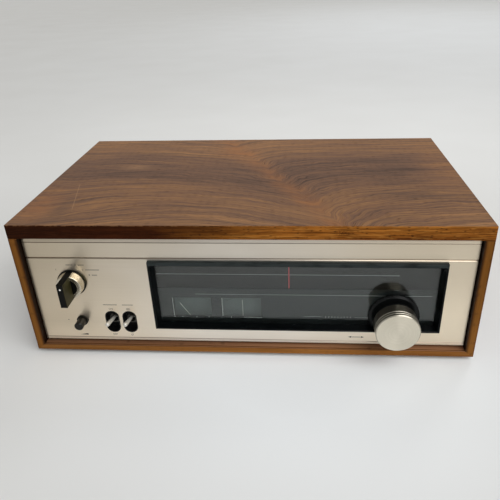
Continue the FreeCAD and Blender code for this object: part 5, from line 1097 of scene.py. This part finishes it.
def meter_marks(ink):
    """Faint arc with ticks on each meter's scale."""
    marks = Print("meter_marks", SCALES[1][0], ink, "cabinet", "meter_face")
    pivot_z = middle("meter_cases")[2] - METER_PIVOT_DROP
    start, end = METER_ARC_ENDS
    for centre in METER_XS:
        marks.arc((centre, pivot_z), METER_ARC_RADIUS, METER_LINE_WIDTH, start, end)
        for degrees in range(start, end + 1, METER_TICK_STEP):
            angle = math.radians(degrees)
            inner, outer = ((centre + radius * math.cos(angle), pivot_z + radius * math.sin(angle))
                            for radius in (METER_ARC_RADIUS, METER_TICK_RADIUS))
            marks.line(inner, outer, METER_LINE_WIDTH)
    marks.finish()


# Camera, floor and light

def make_camera():
    azimuth, elevation, roll = (math.radians(a) for a in (CAMERA_AZIMUTH, CAMERA_ELEVATION, CAMERA_ROLL))
    ahead = Vector((math.sin(azimuth) * math.cos(elevation), math.cos(azimuth) * math.cos(elevation),
                    math.sin(elevation)))
    level = Vector((math.cos(azimuth), -math.sin(azimuth), 0.0))
    upright = level.cross(ahead)
    right = level * math.cos(roll) + upright * math.sin(roll)
    up = upright * math.cos(roll) - level * math.sin(roll)
    data = bpy.data.cameras.new("camera")
    data.sensor_width = SENSOR
    data.lens = FOCAL_LENGTH
    data.shift_x, data.shift_y = CAMERA_SHIFT
    data.clip_start, data.clip_end = CAMERA_CLIP_METRES
    camera = new_object("camera", data)
    turn = Matrix((right, up, -ahead)).transposed().to_4x4()
    camera.matrix_world = Matrix.Translation(Vector(CAMERA_PLACE) * MM) @ turn
    bpy.context.scene.camera = camera


def make_floor():
    mesh = bmesh.new()
    bmesh.ops.create_circle(mesh, cap_ends=True, radius=FLOOR_RADIUS * MM, segments=FLOOR_SEGMENTS)
    floor = mesh_object("floor", mesh, pale_floor())
    floor.location.z = CAD_BOX[0].z


def make_key():
    """Broad soft light from the upper right."""
    data = bpy.data.lights.new("key", "SUN")
    data.angle = math.radians(KEY_ANGLE)
    data.energy = KEY_STRENGTH
    key = new_object("key", data)
    key.rotation_euler = Vector(KEY_FROM).to_track_quat("Z", "Y").to_euler()


def make_lamp(name, place, size, watts):
    """Soft rectangular lamp that looks at the object's middle."""
    data = bpy.data.lights.new(name, "AREA")
    data.shape = "RECTANGLE"
    data.size, data.size_y = (s * MM for s in size)
    data.energy = watts
    lamp = new_object(name, data)
    lamp.location = Vector(place) * MM
    aim = Vector(STRIP_AIM) * MM - lamp.location
    lamp.rotation_euler = aim.to_track_quat("-Z", "Y").to_euler()


def make_world():
    """Pale surroundings, darker overhead."""
    world = bpy.data.worlds.new("world")
    bpy.context.scene.world = world
    world.use_nodes = True
    tree = world.node_tree
    tree.nodes.clear()
    kinds = ("TexCoord", "SeparateXYZ", "MapRange", "Background", "OutputWorld")
    place, parts, rise, background, out = (tree.nodes.new("ShaderNode" + kind) for kind in kinds)
    for slot, value in zip(rise.inputs[1:5], (0.0, WORLD_ZENITH_RISE, WORLD_HORIZON, WORLD_ZENITH)):
        slot.default_value = value
    tree.links.new(place.outputs["Generated"], parts.inputs[0])
    tree.links.new(parts.outputs["Z"], rise.inputs[0])
    tree.links.new(rise.outputs[0], background.inputs["Strength"])
    tree.links.new(background.outputs[0], out.inputs["Surface"])


def make_marks():
    dark = printed_ink("ink_dark", (58, 52, 46), (70, 64, 56))
    pale = printed_ink("ink_pale", (190, 197, 196), (206, 212, 211))
    white = printed_ink("ink_white", (240, 243, 243), (250, 251, 251))
    faint = printed_ink("ink_faint", (40, 42, 40), (48, 50, 48))
    fascia_marks(dark)
    dial_marks(pale, faint)
    mask_marks(pale, white)
    meter_marks(faint)


# The scene

make_camera()
make_world()
make_floor()
make_key()
for number, strip_place in enumerate(STRIP_PLACES):
    make_lamp(f"strip_{number}", strip_place, STRIP_SIZE, STRIP_WATTS)
window_glass = clear_glass("clear_glass", rgb(236, 242, 238), 0.01)
dress_nodes(window_glass)
make_pane(window_glass)
make_rear_screws()
make_marks()
bpy.context.scene.view_settings.view_transform = "Standard"
